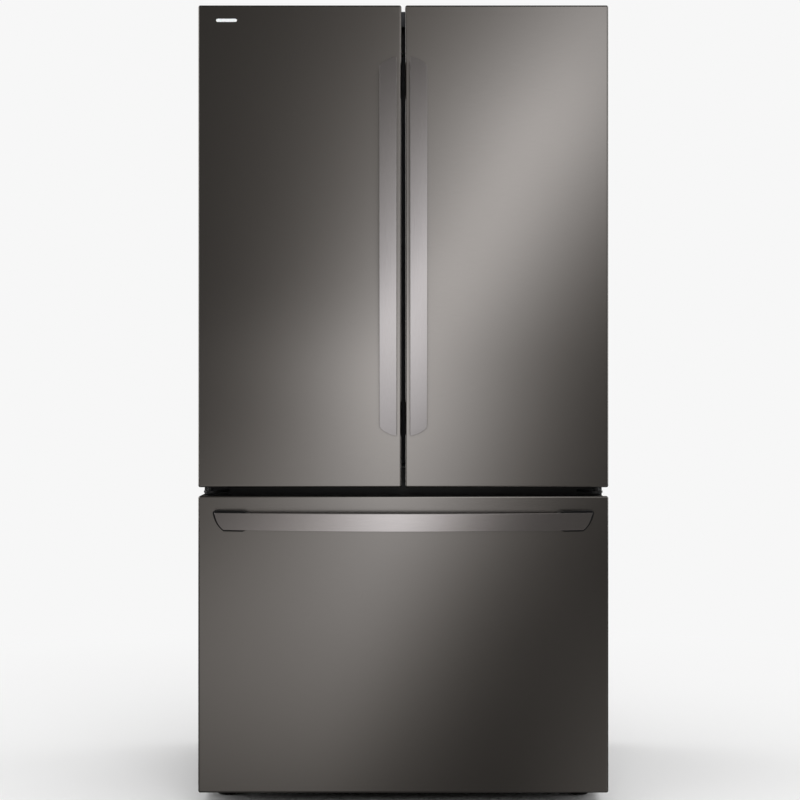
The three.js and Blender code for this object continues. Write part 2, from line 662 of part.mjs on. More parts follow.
// Both handle pieces are built lying along X, with the long edge at z = 0 and +Z towards the short edge.
function handleBar() {
  const band = bowBand(0, HANDLE.thick, [-1, HANDLE.width + 1]);
  return band.intersect(prism('y', handleOutline(0), [-HANDLE_PROUD - 1, 0]));
}

// Black carrier behind the bar: a thin backing that thickens into a mount at each end.
function handleCarrier(proudEdge) {
  const { length, width, thick, backing, mountLength } = HANDLE;
  const inset = 3;
  const band = bowBand(thick + GAP, thick + GAP + backing, [inset, width - inset]);
  const solid = bowBand(thick + GAP, HANDLE_PROUD, [-6, width + 6]);
  const ends = cut(
    prism('y', handleOutline(proudEdge), [-HANDLE_PROUD, -GAP]),
    block([mountLength, length - mountLength], [-HANDLE_PROUD - 1, 1], [-10, width + 10]),
  ).intersect(solid);
  const backed = band.intersect(prism('y', handleOutline(proudEdge), [-HANDLE_PROUD - 1, 0]));
  return join(backed, ends);
}

// Hangs a piece that is built along X so that it runs along Z, long edge towards the middle of the doors.
function standUp(mesh, side, x, z) {
  mesh.matrixAutoUpdate = false;
  mesh.matrix.makeBasis(Z, Y, X.clone().multiplyScalar(side)).setPosition(x, 0, z);
  return mesh;
}

const HINGE_SIDE_INSET = 22;
const CENTRE_SIDE_INSET = 14;
const DOOR_WIDTH = HALF - DOOR.centreGap / 2;
const DOOR_MIDDLE = (HALF + DOOR.centreGap / 2) / 2;
const DOOR_RIM = { hinge: 398, centre: 64, z: [52, 974] };
const BIN = { upper: [1380, 1478], middle: [1080, 1188], lower: [786, 906], rear: 165 };
const MULLION = { axisX: -46, axisY: 123, pin: 3, right: -1.2, bottom: 758, top: 1690, arms: [900, 1560] };

// A door in its own frame: x = 0 is its middle, y = 0 its front and z = 0 its bottom edge.
function door(label, side) {
  const group = new THREE.Group();
  group.position.set(side * DOOR_MIDDLE, FRONT, DOOR.bottom);
  const toLocal = (x) => side * (x - DOOR_MIDDLE); // from distance off the middle of the whole
  const span = (a, b) => [toLocal(a), toLocal(b)].sort((p, q) => p - q);
  const hingeX = toLocal(HINGE.x);
  const hingeY = HINGE.y - FRONT;

  const skin = frontSkin(DOOR_WIDTH, DOOR.height, true);
  const lowerBore = rod('z', [hingeX, hingeY], HINGE.bore, [-1, 27]);
  const upperBore = rod('z', [hingeX, hingeY], HINGE.bore, [DOOR.height - DOOR.lipHeight - 29, DOOR.height]);
  let core = frontCore(DOOR_WIDTH, DOOR.height, true, span(DOOR_RIM.hinge, DOOR_RIM.centre), DOOR_RIM.z);
  core = cut(core, lowerBore, upperBore);
  if (side < 0) core = join(core, ...MULLION.arms.map((z) => mullionArm(z)));

  const gasketX = span(HALF - HINGE_SIDE_INSET, DOOR.centreGap / 2 + CENTRE_SIDE_INSET);
  const gasketY = [DOOR.back + GAP, DOOR.back + GAP + GASKET.thick];
  const seal = ring(gasketX, [10, 1018], GASKET.width, gasketY);

  const handleX = toLocal(DOOR.centreGap / 2 + HANDLE.edgeFromGap);
  const handleZ = 114;
  const bar = meshFrom(`${label}_door_handle`, handleBar(), MATERIAL.handleSteel);
  const carrier = meshFrom(`${label}_handle_carrier`, handleCarrier(DOOR.carrierEdge), MATERIAL.blackPlastic);

  group.add(
    meshFrom(`${label}_door_skin`, cut(skin, lowerBore), MATERIAL.blackSteel),
    meshFrom(`${label}_door_inner`, core, MATERIAL.whitePlastic),
    meshFrom(`${label}_door_gasket`, seal, MATERIAL.rubber),
    standUp(bar, side, handleX, handleZ),
    standUp(carrier, side, handleX, handleZ),
    ...['upper', 'middle', 'lower'].map((level) => {
      const z = BIN[level].map((height) => height - DOOR.bottom);
      const x = span(DOOR_RIM.hinge - RIM.width - 2, DOOR_RIM.centre + RIM.width + 2);
      const bin = tray(x, [RIM.pocketFloor + 1, BIN.rear], z, 2.5);
      return meshFrom(`${label}_bin_${level}`, bin, MATERIAL.clearPlastic);
    }),
  );
  if (side < 0) group.add(flipMullion());
  return group;
}

const MULLION_LOCAL_X = MULLION.axisX + DOOR_MIDDLE; // in the left door's frame
const ARM_HEIGHT = 30;

// Arm on the left door that holds the mullion's pin.
function mullionArm(z) {
  const reach = 5.5;
  const height = [z - DOOR.bottom, z - DOOR.bottom + ARM_HEIGHT];
  return cut(
    block([MULLION_LOCAL_X - 12, MULLION_LOCAL_X + reach], [DOOR.back - 1, MULLION.axisY + reach], height),
    rod('z', [MULLION_LOCAL_X, MULLION.axisY], MULLION.pin + 0.5, [height[0] - 1, height[1] + 1], 12),
  );
}

// Upright bar on the left door that closes the space between the doors, and folds back on its own pin.
function flipMullion() {
  const x = MULLION_LOCAL_X;
  const right = MULLION.right + DOOR_MIDDLE;
  const height = [MULLION.bottom - DOOR.bottom, MULLION.top - DOOR.bottom];
  const front = DOOR_DEPTH + GAP;
  const back = DOOR_DEPTH + 18;
  const bar = prism('z', [[x + 1, front], [right, front], [right - 3, back], [x + 1, back]], height);
  const clear = ARM_HEIGHT + 2;
  const notches = MULLION.arms.map((z) => block(
    [x - 9, x + 9], [DOOR_DEPTH - 2, DOOR_DEPTH + 20], [z - DOOR.bottom - 1, z - DOOR.bottom - 1 + clear],
  ));
  const pin = rod('z', [x, MULLION.axisY], MULLION.pin, height, 12);
  return meshFrom('flip_mullion', join(cut(bar, ...notches), pin), MATERIAL.greyPlastic);
}

// ---------------------------------------------------------------- freezer drawer

const RAIL = { z: [400, 440], outer: [385.5, 397.6], groove: [384, 394], front: -184, rear: 240, lip: 6 };
const FRAME = { x: [376, 392.5], z: [407.5, 432.5], rear: 200 };
const BASKET = { half: 366, front: -182, rear: 90, bottom: 112, flange: 374, top: 436 };
const TRAY = { half: 362, front: -178, rear: 118, bottom: 437, top: 560 };

function slideRail(name, side) {
  const mirror = ([a, b]) => (side > 0 ? [a, b] : [-b, -a]);
  return meshFrom(name, cut(
    block(mirror(RAIL.outer), [RAIL.front, RAIL.rear], RAIL.z),
    block(mirror(RAIL.groove), [RAIL.front - 1, RAIL.rear - 4], [RAIL.z[0] + RAIL.lip, RAIL.z[1] - RAIL.lip]),
  ), MATERIAL.galvanised);
}

// Steel frame that carries the basket: two sliding bars, brackets on the drawer front and a cross bar behind.
function drawerFrame() {
  const face = FRONT + DOOR.back + RIM.depth + GAP;
  const bars = [-1, 1].flatMap((side) => {
    const mirror = ([a, b]) => (side > 0 ? [a, b] : [-b, -a]);
    return [
      block(mirror(FRAME.x), [face, FRAME.rear], FRAME.z),
      block(mirror([FRAME.x[0] - 6, FRAME.x[0] + 8]), [face, face + 4], [340, 470]),
    ];
  });
  const cross = block(
    [-FRAME.x[1] + 4, FRAME.x[1] - 4], [FRAME.rear - 12, FRAME.rear], [FRAME.z[0] + 2, FRAME.z[1] - 2],
  );
  return meshFrom('drawer_frame', join(...bars, cross), MATERIAL.galvanised);
}

function freezerBasket() {
  const x = [-BASKET.half, BASKET.half];
  const y = [BASKET.front, BASKET.rear];
  const body = tray(x, y, [BASKET.bottom, BASKET.top], 3);
  const flanges = [-1, 1].map((side) => block(
    side > 0 ? [BASKET.half - 1, BASKET.flange + 8] : [-BASKET.flange - 8, -BASKET.half + 1],
    y, [FRAME.z[1] + GAP, BASKET.top],
  ));
  return meshFrom('freezer_basket', join(body, ...flanges), MATERIAL.whitePlastic);
}

function freezerTray() {
  const body = tray([-TRAY.half, TRAY.half], [TRAY.front, TRAY.rear], [TRAY.bottom, TRAY.top], 3);
  return meshFrom('freezer_tray', body, MATERIAL.clearPlastic);
}

// The drawer front in its own frame, as the doors are, and what slides with it.
function freezerDrawer() {
  const face = new THREE.Group();
  face.position.set(0, FRONT, DRAWER.bottom);
  const rimHalf = FREEZER.half - 10;
  const core = frontCore(TOTAL.width, DRAWER.height, false, [-rimHalf, rimHalf], [74, 609]);
  const seal = ring([-HALF + HINGE_SIDE_INSET, HALF - HINGE_SIDE_INSET], [22, 648], GASKET.width,
    [DOOR.back + GAP, DOOR.back + GAP + GASKET.thick]);
  const bar = meshFrom('drawer_handle', handleBar(), MATERIAL.handleSteel);
  const carrier = meshFrom('drawer_handle_carrier', handleCarrier(DRAWER.carrierEdge), MATERIAL.blackPlastic);
  [bar, carrier].forEach((mesh) => {
    mesh.rotation.y = Math.PI; // long edge upwards
    mesh.position.set(HANDLE.length / 2, 0, 620.5);
  });
  face.add(
    meshFrom('drawer_skin', frontSkin(TOTAL.width, DRAWER.height, false), MATERIAL.blackSteel),
    meshFrom('drawer_inner', core, MATERIAL.whitePlastic),
    meshFrom('drawer_gasket', seal, MATERIAL.rubber),
    bar,
    carrier,
  );
  return [face, drawerFrame(), freezerBasket(), freezerTray()];
}

// ---------------------------------------------------------------- the whole

const refrigerator = new THREE.Group();
refrigerator.add(
  cabinetShell(),
  rearPanel(),
  machineCover(),
  basePan(),
  cabinetFoam(),
  freshFoodLiner(),
  freezerLiner(),
  topCover(),
  topHinge('top_hinge_left', -1),
  topHinge('top_hinge_right', 1),
  centreHinge('centre_hinge_left', -1),
  centreHinge('centre_hinge_right', 1),
  ...machinery(),
  levellingLeg('levelling_leg_left', -1),
  levellingLeg('levelling_leg_right', 1),
  rearRollers(),
  ...interior(),
  slideRail('slide_rail_left', -1),
  slideRail('slide_rail_right', 1),
  door('left', -1),
  door('right', 1),
  ...freezerDrawer(),
);

export default refrigerator;
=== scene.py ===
import json
import math

import bmesh
import bpy
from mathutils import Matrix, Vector


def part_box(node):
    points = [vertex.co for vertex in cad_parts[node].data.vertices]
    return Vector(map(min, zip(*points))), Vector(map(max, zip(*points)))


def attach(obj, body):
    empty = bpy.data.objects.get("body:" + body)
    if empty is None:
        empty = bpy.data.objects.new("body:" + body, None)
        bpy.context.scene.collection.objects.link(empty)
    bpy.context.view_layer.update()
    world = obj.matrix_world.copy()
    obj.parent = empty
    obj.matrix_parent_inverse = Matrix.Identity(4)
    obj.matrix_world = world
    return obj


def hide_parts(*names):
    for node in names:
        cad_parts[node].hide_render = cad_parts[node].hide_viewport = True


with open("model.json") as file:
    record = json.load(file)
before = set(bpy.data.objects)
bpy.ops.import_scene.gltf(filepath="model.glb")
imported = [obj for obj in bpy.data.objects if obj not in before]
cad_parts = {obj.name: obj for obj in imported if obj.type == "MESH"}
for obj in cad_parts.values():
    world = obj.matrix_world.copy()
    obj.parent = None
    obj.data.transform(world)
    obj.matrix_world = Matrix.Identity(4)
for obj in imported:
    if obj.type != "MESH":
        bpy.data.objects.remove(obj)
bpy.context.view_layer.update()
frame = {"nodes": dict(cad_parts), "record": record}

FRONT_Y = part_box("drawer_skin")[0].y  # front face of the doors and the drawer
NEAR = 1e-4  # two places closer than this count as one

scene = bpy.context.scene
scene.view_settings.view_transform = "Standard"


# ---------------- node helpers


def add_node(tree, kind, **settings):
    """A shader node, its sockets set by index or name from `inputs`."""
    inputs = settings.pop("inputs", {})
    node = tree.nodes.new(kind)
    for key, value in settings.items():
        setattr(node, key, value)
    for key, value in inputs.items():
        if isinstance(value, bpy.types.NodeSocket):
            tree.links.new(value, node.inputs[key])
        else:
            node.inputs[key].default_value = value
    return node


def calc(tree, operation, *values):
    """A Math node's result; each value is a number or a socket."""
    return add_node(tree, "ShaderNodeMath", operation=operation, inputs=dict(enumerate(values))).outputs[0]


def total(tree, first, *others):
    """The sum of numbers and sockets."""
    for value in others:
        first = calc(tree, "ADD", first, value)
    return first


def ramp(tree, factor, stops):
    """A colour ramp over (position, colour) stops, in linear RGB."""
    node = add_node(tree, "ShaderNodeValToRGB", inputs={0: factor})
    elements = node.color_ramp.elements
    while len(elements) < len(stops):
        elements.new(0.5)
    for element, (position, colour) in zip(elements, stops):
        element.position = position
        element.color = (*colour, 1)
    return node.outputs["Color"]


def bare_material(name):
    """A material whose node tree is empty."""
    material = bpy.data.materials.new(name)
    material.use_nodes = True
    material.node_tree.nodes.clear()
    return material, material.node_tree


# ---------------- camera, floor and light

CAMERA_DISTANCE = 3.7  # from the lens to the doors' front
CAMERA_X = -0.0073
CAMERA_HEIGHT = 0.9053
VIEW_WIDTH = 1.7696  # metres across the picture at the doors' front
BACKGROUND = (0.93, 0.93, 0.93, 1)
STUDIO_TINT = (1.0, 0.96, 0.92, 1)
STUDIO_LEVEL = 0.05
FLOOR_RADIUS = 20
FLOOR_TONE = (0.92, 0.92, 0.92, 1)
FLOOR_FADE = (0.6, 2.6)  # from its own tone to the background's, by distance from the middle
CARD_DISTANCE = 1.2  # from the doors' front to the light card
CARD_HALF_WIDTH = 1.5
CARD_HEIGHTS = (-1.0, 3.0)
LIGHT_TARGET = (0, 0, 0.9)

# The bright band on the card, in metres where its mirror image falls on the doors' front. A pair is
# (height, slope): past that height the value changes by slope times the distance.
BAND_FOOT = -0.03  # the middle of the band, across
BAND_LEAN_ABOVE = (0.99, 0.635)
BAND_LEAN_BELOW = (0.65, -0.3)
RIGHT_WIDTH = 0.20  # from the middle to half brightness
RIGHT_WIDTH_BELOW = (1.0, -0.06)
RIGHT_FALL = 1.65  # power of the fall in brightness
LEFT_WIDTH = 0.13
LEFT_WIDTH_ABOVE = (1.15, 0.15)
LEFT_WIDTH_BELOW = (0.86, 0.35)
LEFT_WIDTH_LOW = (0.62, 0.4)
LEFT_FALL = 1.2
PEAK = 1.08
PEAK_ABOVE = (1.52, -1.2)
PEAK_BELOW = (0.93, -1.4)
PEAK_LOW = (0.58, 0.6)
CORNER_PAST_X = (0.25, 1.0)  # a faint glow low at the right
CORNER_BELOW = (0.55, 0.8)
DIM_TINT = (0.05, (1.0, 0.95, 0.895))
BRIGHT_TINT = (0.6, (1.0, 0.985, 0.985))


def make_camera():
    """A level camera in front of the doors."""
    data = bpy.data.cameras.new("camera")
    data.sensor_width = 36
    data.lens = data.sensor_width * CAMERA_DISTANCE / VIEW_WIDTH
    camera = bpy.data.objects.new("camera", data)
    camera.location = (CAMERA_X, FRONT_Y - CAMERA_DISTANCE, CAMERA_HEIGHT)
    camera.rotation_euler = (math.pi / 2, 0, 0)
    scene.collection.objects.link(camera)
    scene.camera = camera


def make_floor():
    """A pale disc that fades to the background's tone well away from the object."""
    mesh = bpy.data.meshes.new("floor")
    form = bmesh.new()
    bmesh.ops.create_circle(form, cap_ends=True, segments=96, radius=FLOOR_RADIUS)
    form.to_mesh(mesh)
    form.free()
    floor = bpy.data.objects.new("floor", mesh)
    scene.collection.objects.link(floor)
    floor.visible_glossy = False
    material, tree = bare_material("floor")
    place = add_node(tree, "ShaderNodeTexCoord").outputs["Object"]
    distance = add_node(tree, "ShaderNodeVectorMath", operation="LENGTH", inputs={0: place}).outputs["Value"]
    fade = add_node(tree, "ShaderNodeMapRange", interpolation_type="SMOOTHSTEP",
                    inputs={"Value": distance, "From Min": FLOOR_FADE[0], "From Max": FLOOR_FADE[1]})
    paint = add_node(tree, "ShaderNodeBsdfDiffuse", inputs={"Color": FLOOR_TONE})
    glow = add_node(tree, "ShaderNodeEmission", inputs={"Color": BACKGROUND, "Strength": 1.0})
    mixed = add_node(tree, "ShaderNodeMixShader",
                     inputs={0: fade.outputs["Result"], 1: paint.outputs[0], 2: glow.outputs[0]})
    add_node(tree, "ShaderNodeOutputMaterial", inputs={"Surface": mixed.outputs[0]})
    mesh.materials.append(material)


def make_world():
    """Pale to the eye; to the object, a dim even studio."""
    world = bpy.data.worlds.new("studio")
    world.use_nodes = True
    scene.world = world
    tree = world.node_tree
    tree.nodes.clear()
    lit = add_node(tree, "ShaderNodeBackground", inputs={"Color": STUDIO_TINT, "Strength": STUDIO_LEVEL})
    seen = add_node(tree, "ShaderNodeBackground", inputs={"Color": BACKGROUND})
    eye = add_node(tree, "ShaderNodeLightPath").outputs["Is Camera Ray"]
    mixed = add_node(tree, "ShaderNodeMixShader", inputs={0: eye, 1: lit.outputs[0], 2: seen.outputs[0]})
    add_node(tree, "ShaderNodeOutputWorld", inputs={"Surface": mixed.outputs[0]})


def over(tree, value, threshold, slope):
    """slope x the amount by which value is over the threshold, or 0."""
    excess = calc(tree, "MAXIMUM", calc(tree, "SUBTRACT", value, threshold), 0.0)
    return calc(tree, "MULTIPLY", excess, slope)


def make_soft_card():
    """A soft light card in front of the doors that only their gloss can see: one bright slanting band."""
    y = FRONT_Y - CARD_DISTANCE
    mesh = bpy.data.meshes.new("soft_card")
    left, right = -CARD_HALF_WIDTH, CARD_HALF_WIDTH
    bottom, top = CARD_HEIGHTS
    corners = [(left, y, bottom), (right, y, bottom), (right, y, top), (left, y, top)]
    mesh.from_pydata(corners, [], [(3, 2, 1, 0)])
    card = bpy.data.objects.new("soft_card", mesh)
    scene.collection.objects.link(card)
    card.visible_camera = False
    card.visible_shadow = False
    card.visible_diffuse = False

    material, tree = bare_material("soft_card")
    mesh.materials.append(material)
    level = band_level(tree)
    front = add_node(tree, "ShaderNodeNewGeometry").outputs["Backfacing"]
    level = calc(tree, "MULTIPLY", level, calc(tree, "SUBTRACT", 1.0, front))
    warmth = ramp(tree, level, [DIM_TINT, BRIGHT_TINT])
    glow = add_node(tree, "ShaderNodeEmission", inputs={"Color": warmth, "Strength": level})
    add_node(tree, "ShaderNodeOutputMaterial", inputs={"Surface": glow.outputs[0]})


def band_level(tree):
    """The card's brightness by place, from the band's measures."""
    spread = 1 + CARD_DISTANCE / CAMERA_DISTANCE
    place = add_node(tree, "ShaderNodeTexCoord").outputs["Object"]
    axes = add_node(tree, "ShaderNodeSeparateXYZ", inputs={0: place})
    x = calc(tree, "DIVIDE", axes.outputs["X"], spread)
    z = calc(tree, "DIVIDE", calc(tree, "SUBTRACT", axes.outputs["Z"], CAMERA_HEIGHT), spread)
    z = calc(tree, "ADD", z, CAMERA_HEIGHT)
    depth = calc(tree, "MULTIPLY", z, -1.0)

    def above(bend):
        return over(tree, z, *bend)

    def below(bend):
        return over(tree, depth, -bend[0], bend[1])

    middle = total(tree, above(BAND_LEAN_ABOVE), BAND_FOOT, below(BAND_LEAN_BELOW))
    offset = calc(tree, "SUBTRACT", x, middle)
    right_width = total(tree, RIGHT_WIDTH, below(RIGHT_WIDTH_BELOW))
    left_width = total(tree, below(LEFT_WIDTH_BELOW), below(LEFT_WIDTH_LOW), above(LEFT_WIDTH_ABOVE),
                       LEFT_WIDTH)
    to_right = calc(tree, "DIVIDE", calc(tree, "MAXIMUM", offset, 0.0), right_width)
    leftwards = calc(tree, "MULTIPLY", offset, -1.0)
    to_left = calc(tree, "DIVIDE", calc(tree, "MAXIMUM", leftwards, 0.0), left_width)
    off = total(tree, calc(tree, "POWER", to_right, RIGHT_FALL), calc(tree, "POWER", to_left, LEFT_FALL))
    halving = -0.693  # exp() of this is a half
    profile = calc(tree, "EXPONENT", calc(tree, "MULTIPLY", off, halving))
    peak = total(tree, PEAK, above(PEAK_ABOVE), below(PEAK_BELOW), below(PEAK_LOW))
    band = calc(tree, "MULTIPLY", profile, calc(tree, "MAXIMUM", peak, 0.0))
    low_corner = calc(tree, "MULTIPLY", over(tree, x, *CORNER_PAST_X), below(CORNER_BELOW))
    return total(tree, band, STUDIO_LEVEL, low_corner)


def make_light(name, place, target, size, power, in_gloss=True):
    """A soft rectangular light turned to a target; its power is in watts."""
    data = bpy.data.lights.new(name, "AREA")
    data.shape = "RECTANGLE"
    data.size, data.size_y = size
    data.energy = power
    light = bpy.data.objects.new(name, data)
    light.location = place
    light.rotation_euler = (Vector(target) - Vector(place)).to_track_quat("-Z", "Y").to_euler()
    light.visible_glossy = in_gloss
    scene.collection.objects.link(light)


make_camera()
make_floor()
make_world()
make_soft_card()
make_light("overhead", (0, -0.6, 4.6), (0, 0, 0), (6.0, 6.0), 210, in_gloss=False)
make_light("left_side", (-5.0, 0.4, 2.6), LIGHT_TARGET, (6.0, 5.0), 110)
make_light("right_side", (5.0, 0.6, 2.6), LIGHT_TARGET, (6.0, 5.0), 90)
make_light("behind", (1.4, 5.4, 2.8), LIGHT_TARGET, (5.0, 4.0), 100)
make_light("front_fill", (0.6, -4.8, 2.4), LIGHT_TARGET, (3.0, 2.0), 90, in_gloss=False)


# ---------------- materials


def new_material(name, **sockets):
    """A Principled material, its node tree, its shader and the places on the object that textures use.

    Constants go straight on the shader's sockets.
    """
    material = bpy.data.materials.new(name)
    material.use_nodes = True
    shader = material.node_tree.nodes["Principled BSDF"]
    for key, value in sockets.items():
        shader.inputs[key.replace("_", " ")].default_value = value
    place = add_node(material.node_tree, "ShaderNodeTexCoord").outputs["Object"]
    return material, material.node_tree, shader, place


def noise(tree, place, scale, detail=2.0, roughness=0.5):
    inputs = {"Vector": place, "Scale": scale, "Detail": detail, "Roughness": roughness}
    return add_node(tree, "ShaderNodeTexNoise", inputs=inputs).outputs["Fac"]


def blend(tree, first, second, share):
    """The first value's share of the whole, and the second's rest."""
    return calc(tree, "ADD", calc(tree, "MULTIPLY", first, share), calc(tree, "MULTIPLY", second, 1 - share))


def stretched(tree, place, scale):
    """Places scaled along each axis, so that a texture on them is drawn out into lines."""
    return add_node(tree, "ShaderNodeMapping", inputs={"Vector": place, "Scale": scale}).outputs[0]


def between(tree, value, low, high):
    """A 0 to 1 value as a number from low to high."""
    inputs = {"Value": value, "To Min": low, "To Max": high}
    return add_node(tree, "ShaderNodeMapRange", inputs=inputs).outputs["Result"]


def shades(colour, spread):
    """Ramp stops from a darker to a paler shade of a colour."""
    darker = tuple(c * (1 - spread) for c in colour)
    paler = tuple(min(1.0, c * (1 + spread)) for c in colour)
    return [(0.3, darker), (0.7, paler)]


def bumped(tree, shader, height, distance, strength=1.0):
    """Gives the shader a relief; the distance is its depth in metres."""
    inputs = {"Height": height, "Distance": distance, "Strength": strength}
    bump = add_node(tree, "ShaderNodeBump", inputs=inputs)
    tree.links.new(bump.outputs["Normal"], shader.inputs["Normal"])


def worn_edges(tree, colour, edge_colour, amount):
    """The colour, a little paler where the surface turns a sharp corner."""
    pointed = add_node(tree, "ShaderNodeNewGeometry").outputs["Pointiness"]
    edge = add_node(tree, "ShaderNodeMapRange",
                    inputs={"Value": pointed, "From Min": 0.53, "From Max": 0.62, "To Max": amount})
    mixed = add_node(tree, "ShaderNodeMix", data_type="RGBA",
                     inputs={0: edge.outputs["Result"], 6: colour, 7: (*edge_colour, 1)})
    return mixed.outputs[2]


def black_steel(name, colour, roughness, grain):
    """Tinted stainless: fine brushing along one axis, slow tone drift and faint cloudy smudges."""
    material, tree, shader, place = new_material(name, Metallic=1.0)
    brush = noise(tree, stretched(tree, place, grain), 1.0, 3.0)
    drift = noise(tree, place, 2.2, 1.0)
    tone = blend(tree, brush, drift, 0.7)
    tree.links.new(ramp(tree, tone, shades(colour, 0.045)), shader.inputs["Base Color"])
    smudge = noise(tree, place, 9.0, 3.0)
    smudged = between(tree, smudge, roughness - 0.012, roughness + 0.012)
    tree.links.new(calc(tree, "ADD", between(tree, brush, -0.02, 0.02), smudged), shader.inputs["Roughness"])
    bumped(tree, shader, brush, 0.000004)
    return material


def painted_steel(name, colour, roughness, coat=0.25):
    """Powder-coated sheet: orange peel, a fine fleck and paler rubbed edges."""
    material, tree, shader, place = new_material(name, Coat_Weight=coat, Coat_Roughness=0.35)
    peel = noise(tree, place, 420.0, 2.0)
    fleck = noise(tree, place, 1500.0, 2.0)
    drift = noise(tree, place, 3.0, 2.0)
    tone = blend(tree, fleck, drift, 0.45)
    base = ramp(tree, tone, shades(colour, 0.12))
    pale = tuple(min(1.0, 2.2 * c + 0.05) for c in colour)
    tree.links.new(worn_edges(tree, base, pale, 0.15), shader.inputs["Base Color"])
    tree.links.new(between(tree, peel, roughness - 0.06, roughness + 0.06), shader.inputs["Roughness"])
    bumped(tree, shader, calc(tree, "ADD", peel, calc(tree, "MULTIPLY", fleck, 0.4)), 0.00006)
    return material


def galvanised(name, colour):
    """Zinc spangle: crystal patches of differing tone and gloss, with rolling lines across them."""
    material, tree, shader, place = new_material(name, Metallic=1.0)
    wobble = add_node(tree, "ShaderNodeTexNoise", inputs={"Vector": place, "Scale": 90.0}).outputs["Color"]
    bent = add_node(tree, "ShaderNodeVectorMath", operation="MULTIPLY_ADD",
                    inputs={0: wobble, 1: (0.005, 0.005, 0.005), 2: place})
    crystals = add_node(tree, "ShaderNodeTexVoronoi", inputs={"Vector": bent.outputs[0], "Scale": 150.0})
    patch = add_node(tree, "ShaderNodeSeparateColor", inputs={0: crystals.outputs["Color"]}).outputs[0]
    lines = noise(tree, stretched(tree, place, (900.0, 900.0, 12.0)), 1.0, 2.0)
    tone = blend(tree, patch, lines, 0.65)
    tree.links.new(ramp(tree, tone, shades(colour, 0.05)), shader.inputs["Base Color"])
    tree.links.new(between(tree, patch, 0.43, 0.47), shader.inputs["Roughness"])
    bumped(tree, shader, lines, 0.00001)
    return material


def moulded(name, colour, roughness, grain, depth, spread=0.03, wear=0.0, **sockets):
    """Injection-moulded plastic: fine even grain, slow tone drift and slightly polished patches."""
    material, tree, shader, place = new_material(name, **sockets)
    fine = noise(tree, place, grain, 3.0, 0.6)
    drift = noise(tree, place, 5.0, 3.0)
    tone = blend(tree, fine, drift, 0.4)
    base = ramp(tree, tone, shades(colour, spread))
    if wear:
        base = worn_edges(tree, base, tuple(min(1.0, 1.6 * c + 0.08) for c in colour), wear)
    tree.links.new(base, shader.inputs["Base Color"])
    tree.links.new(between(tree, drift, roughness - 0.05, roughness + 0.05), shader.inputs["Roughness"])
    bumped(tree, shader, fine, depth)
    return material


def clear(name, colour, roughness, ior, haze_scale):
    """Glass or clear plastic: tinted, with a faint uneven haze and slow ripples."""
    material, tree, shader, place = new_material(name, Transmission_Weight=1.0, IOR=ior)
    haze = noise(tree, place, haze_scale, 3.0)
    tree.links.new(ramp(tree, haze, shades(colour, 0.03)), shader.inputs["Base Color"])
    tree.links.new(between(tree, haze, 0.5 * roughness, 1.5 * roughness), shader.inputs["Roughness"])
    bumped(tree, shader, noise(tree, place, 18.0, 1.0), 0.0002, 0.4)
    return material


def light_lens(name):
    """Frosted lens over the lamps: fine prisms, brighter over each of its three lamps."""
    material, tree, shader, place = new_material(name, Roughness=0.35)
    axes = add_node(tree, "ShaderNodeSeparateXYZ", inputs={0: place})
    wave = calc(tree, "SINE", calc(tree, "MULTIPLY", axes.outputs["X"], 1600.0))
    cloud = noise(tree, place, 30.0, 2.0)
    tree.links.new(ramp(tree, cloud, shades((0.92, 0.92, 0.88), 0.03)), shader.inputs["Base Color"])
    lamps = calc(tree, "COSINE", calc(tree, "MULTIPLY", axes.outputs["X"], math.tau / 0.1))
    shader.inputs["Emission Color"].default_value = (1.0, 0.96, 0.88, 1)
    tree.links.new(between(tree, lamps, 0.05, 0.15), shader.inputs["Emission Strength"])
    bumped(tree, shader, wave, 0.0002, 0.6)
    return material


def foam(name):
    """Cut polyurethane foam: small cells and darker skin in patches."""
    material, tree, shader, place = new_material(name, Roughness=0.95)
    voronoi = add_node(tree, "ShaderNodeTexVoronoi", inputs={"Vector": place, "Scale": 420.0})
    cells = voronoi.outputs["Distance"]
    patches = noise(tree, place, 14.0, 4.0)
    tone = blend(tree, cells, patches, 0.5)
    tree.links.new(ramp(tree, tone, shades((0.78, 0.68, 0.42), 0.16)), shader.inputs["Base Color"])
    bumped(tree, shader, cells, 0.0006)
    return material


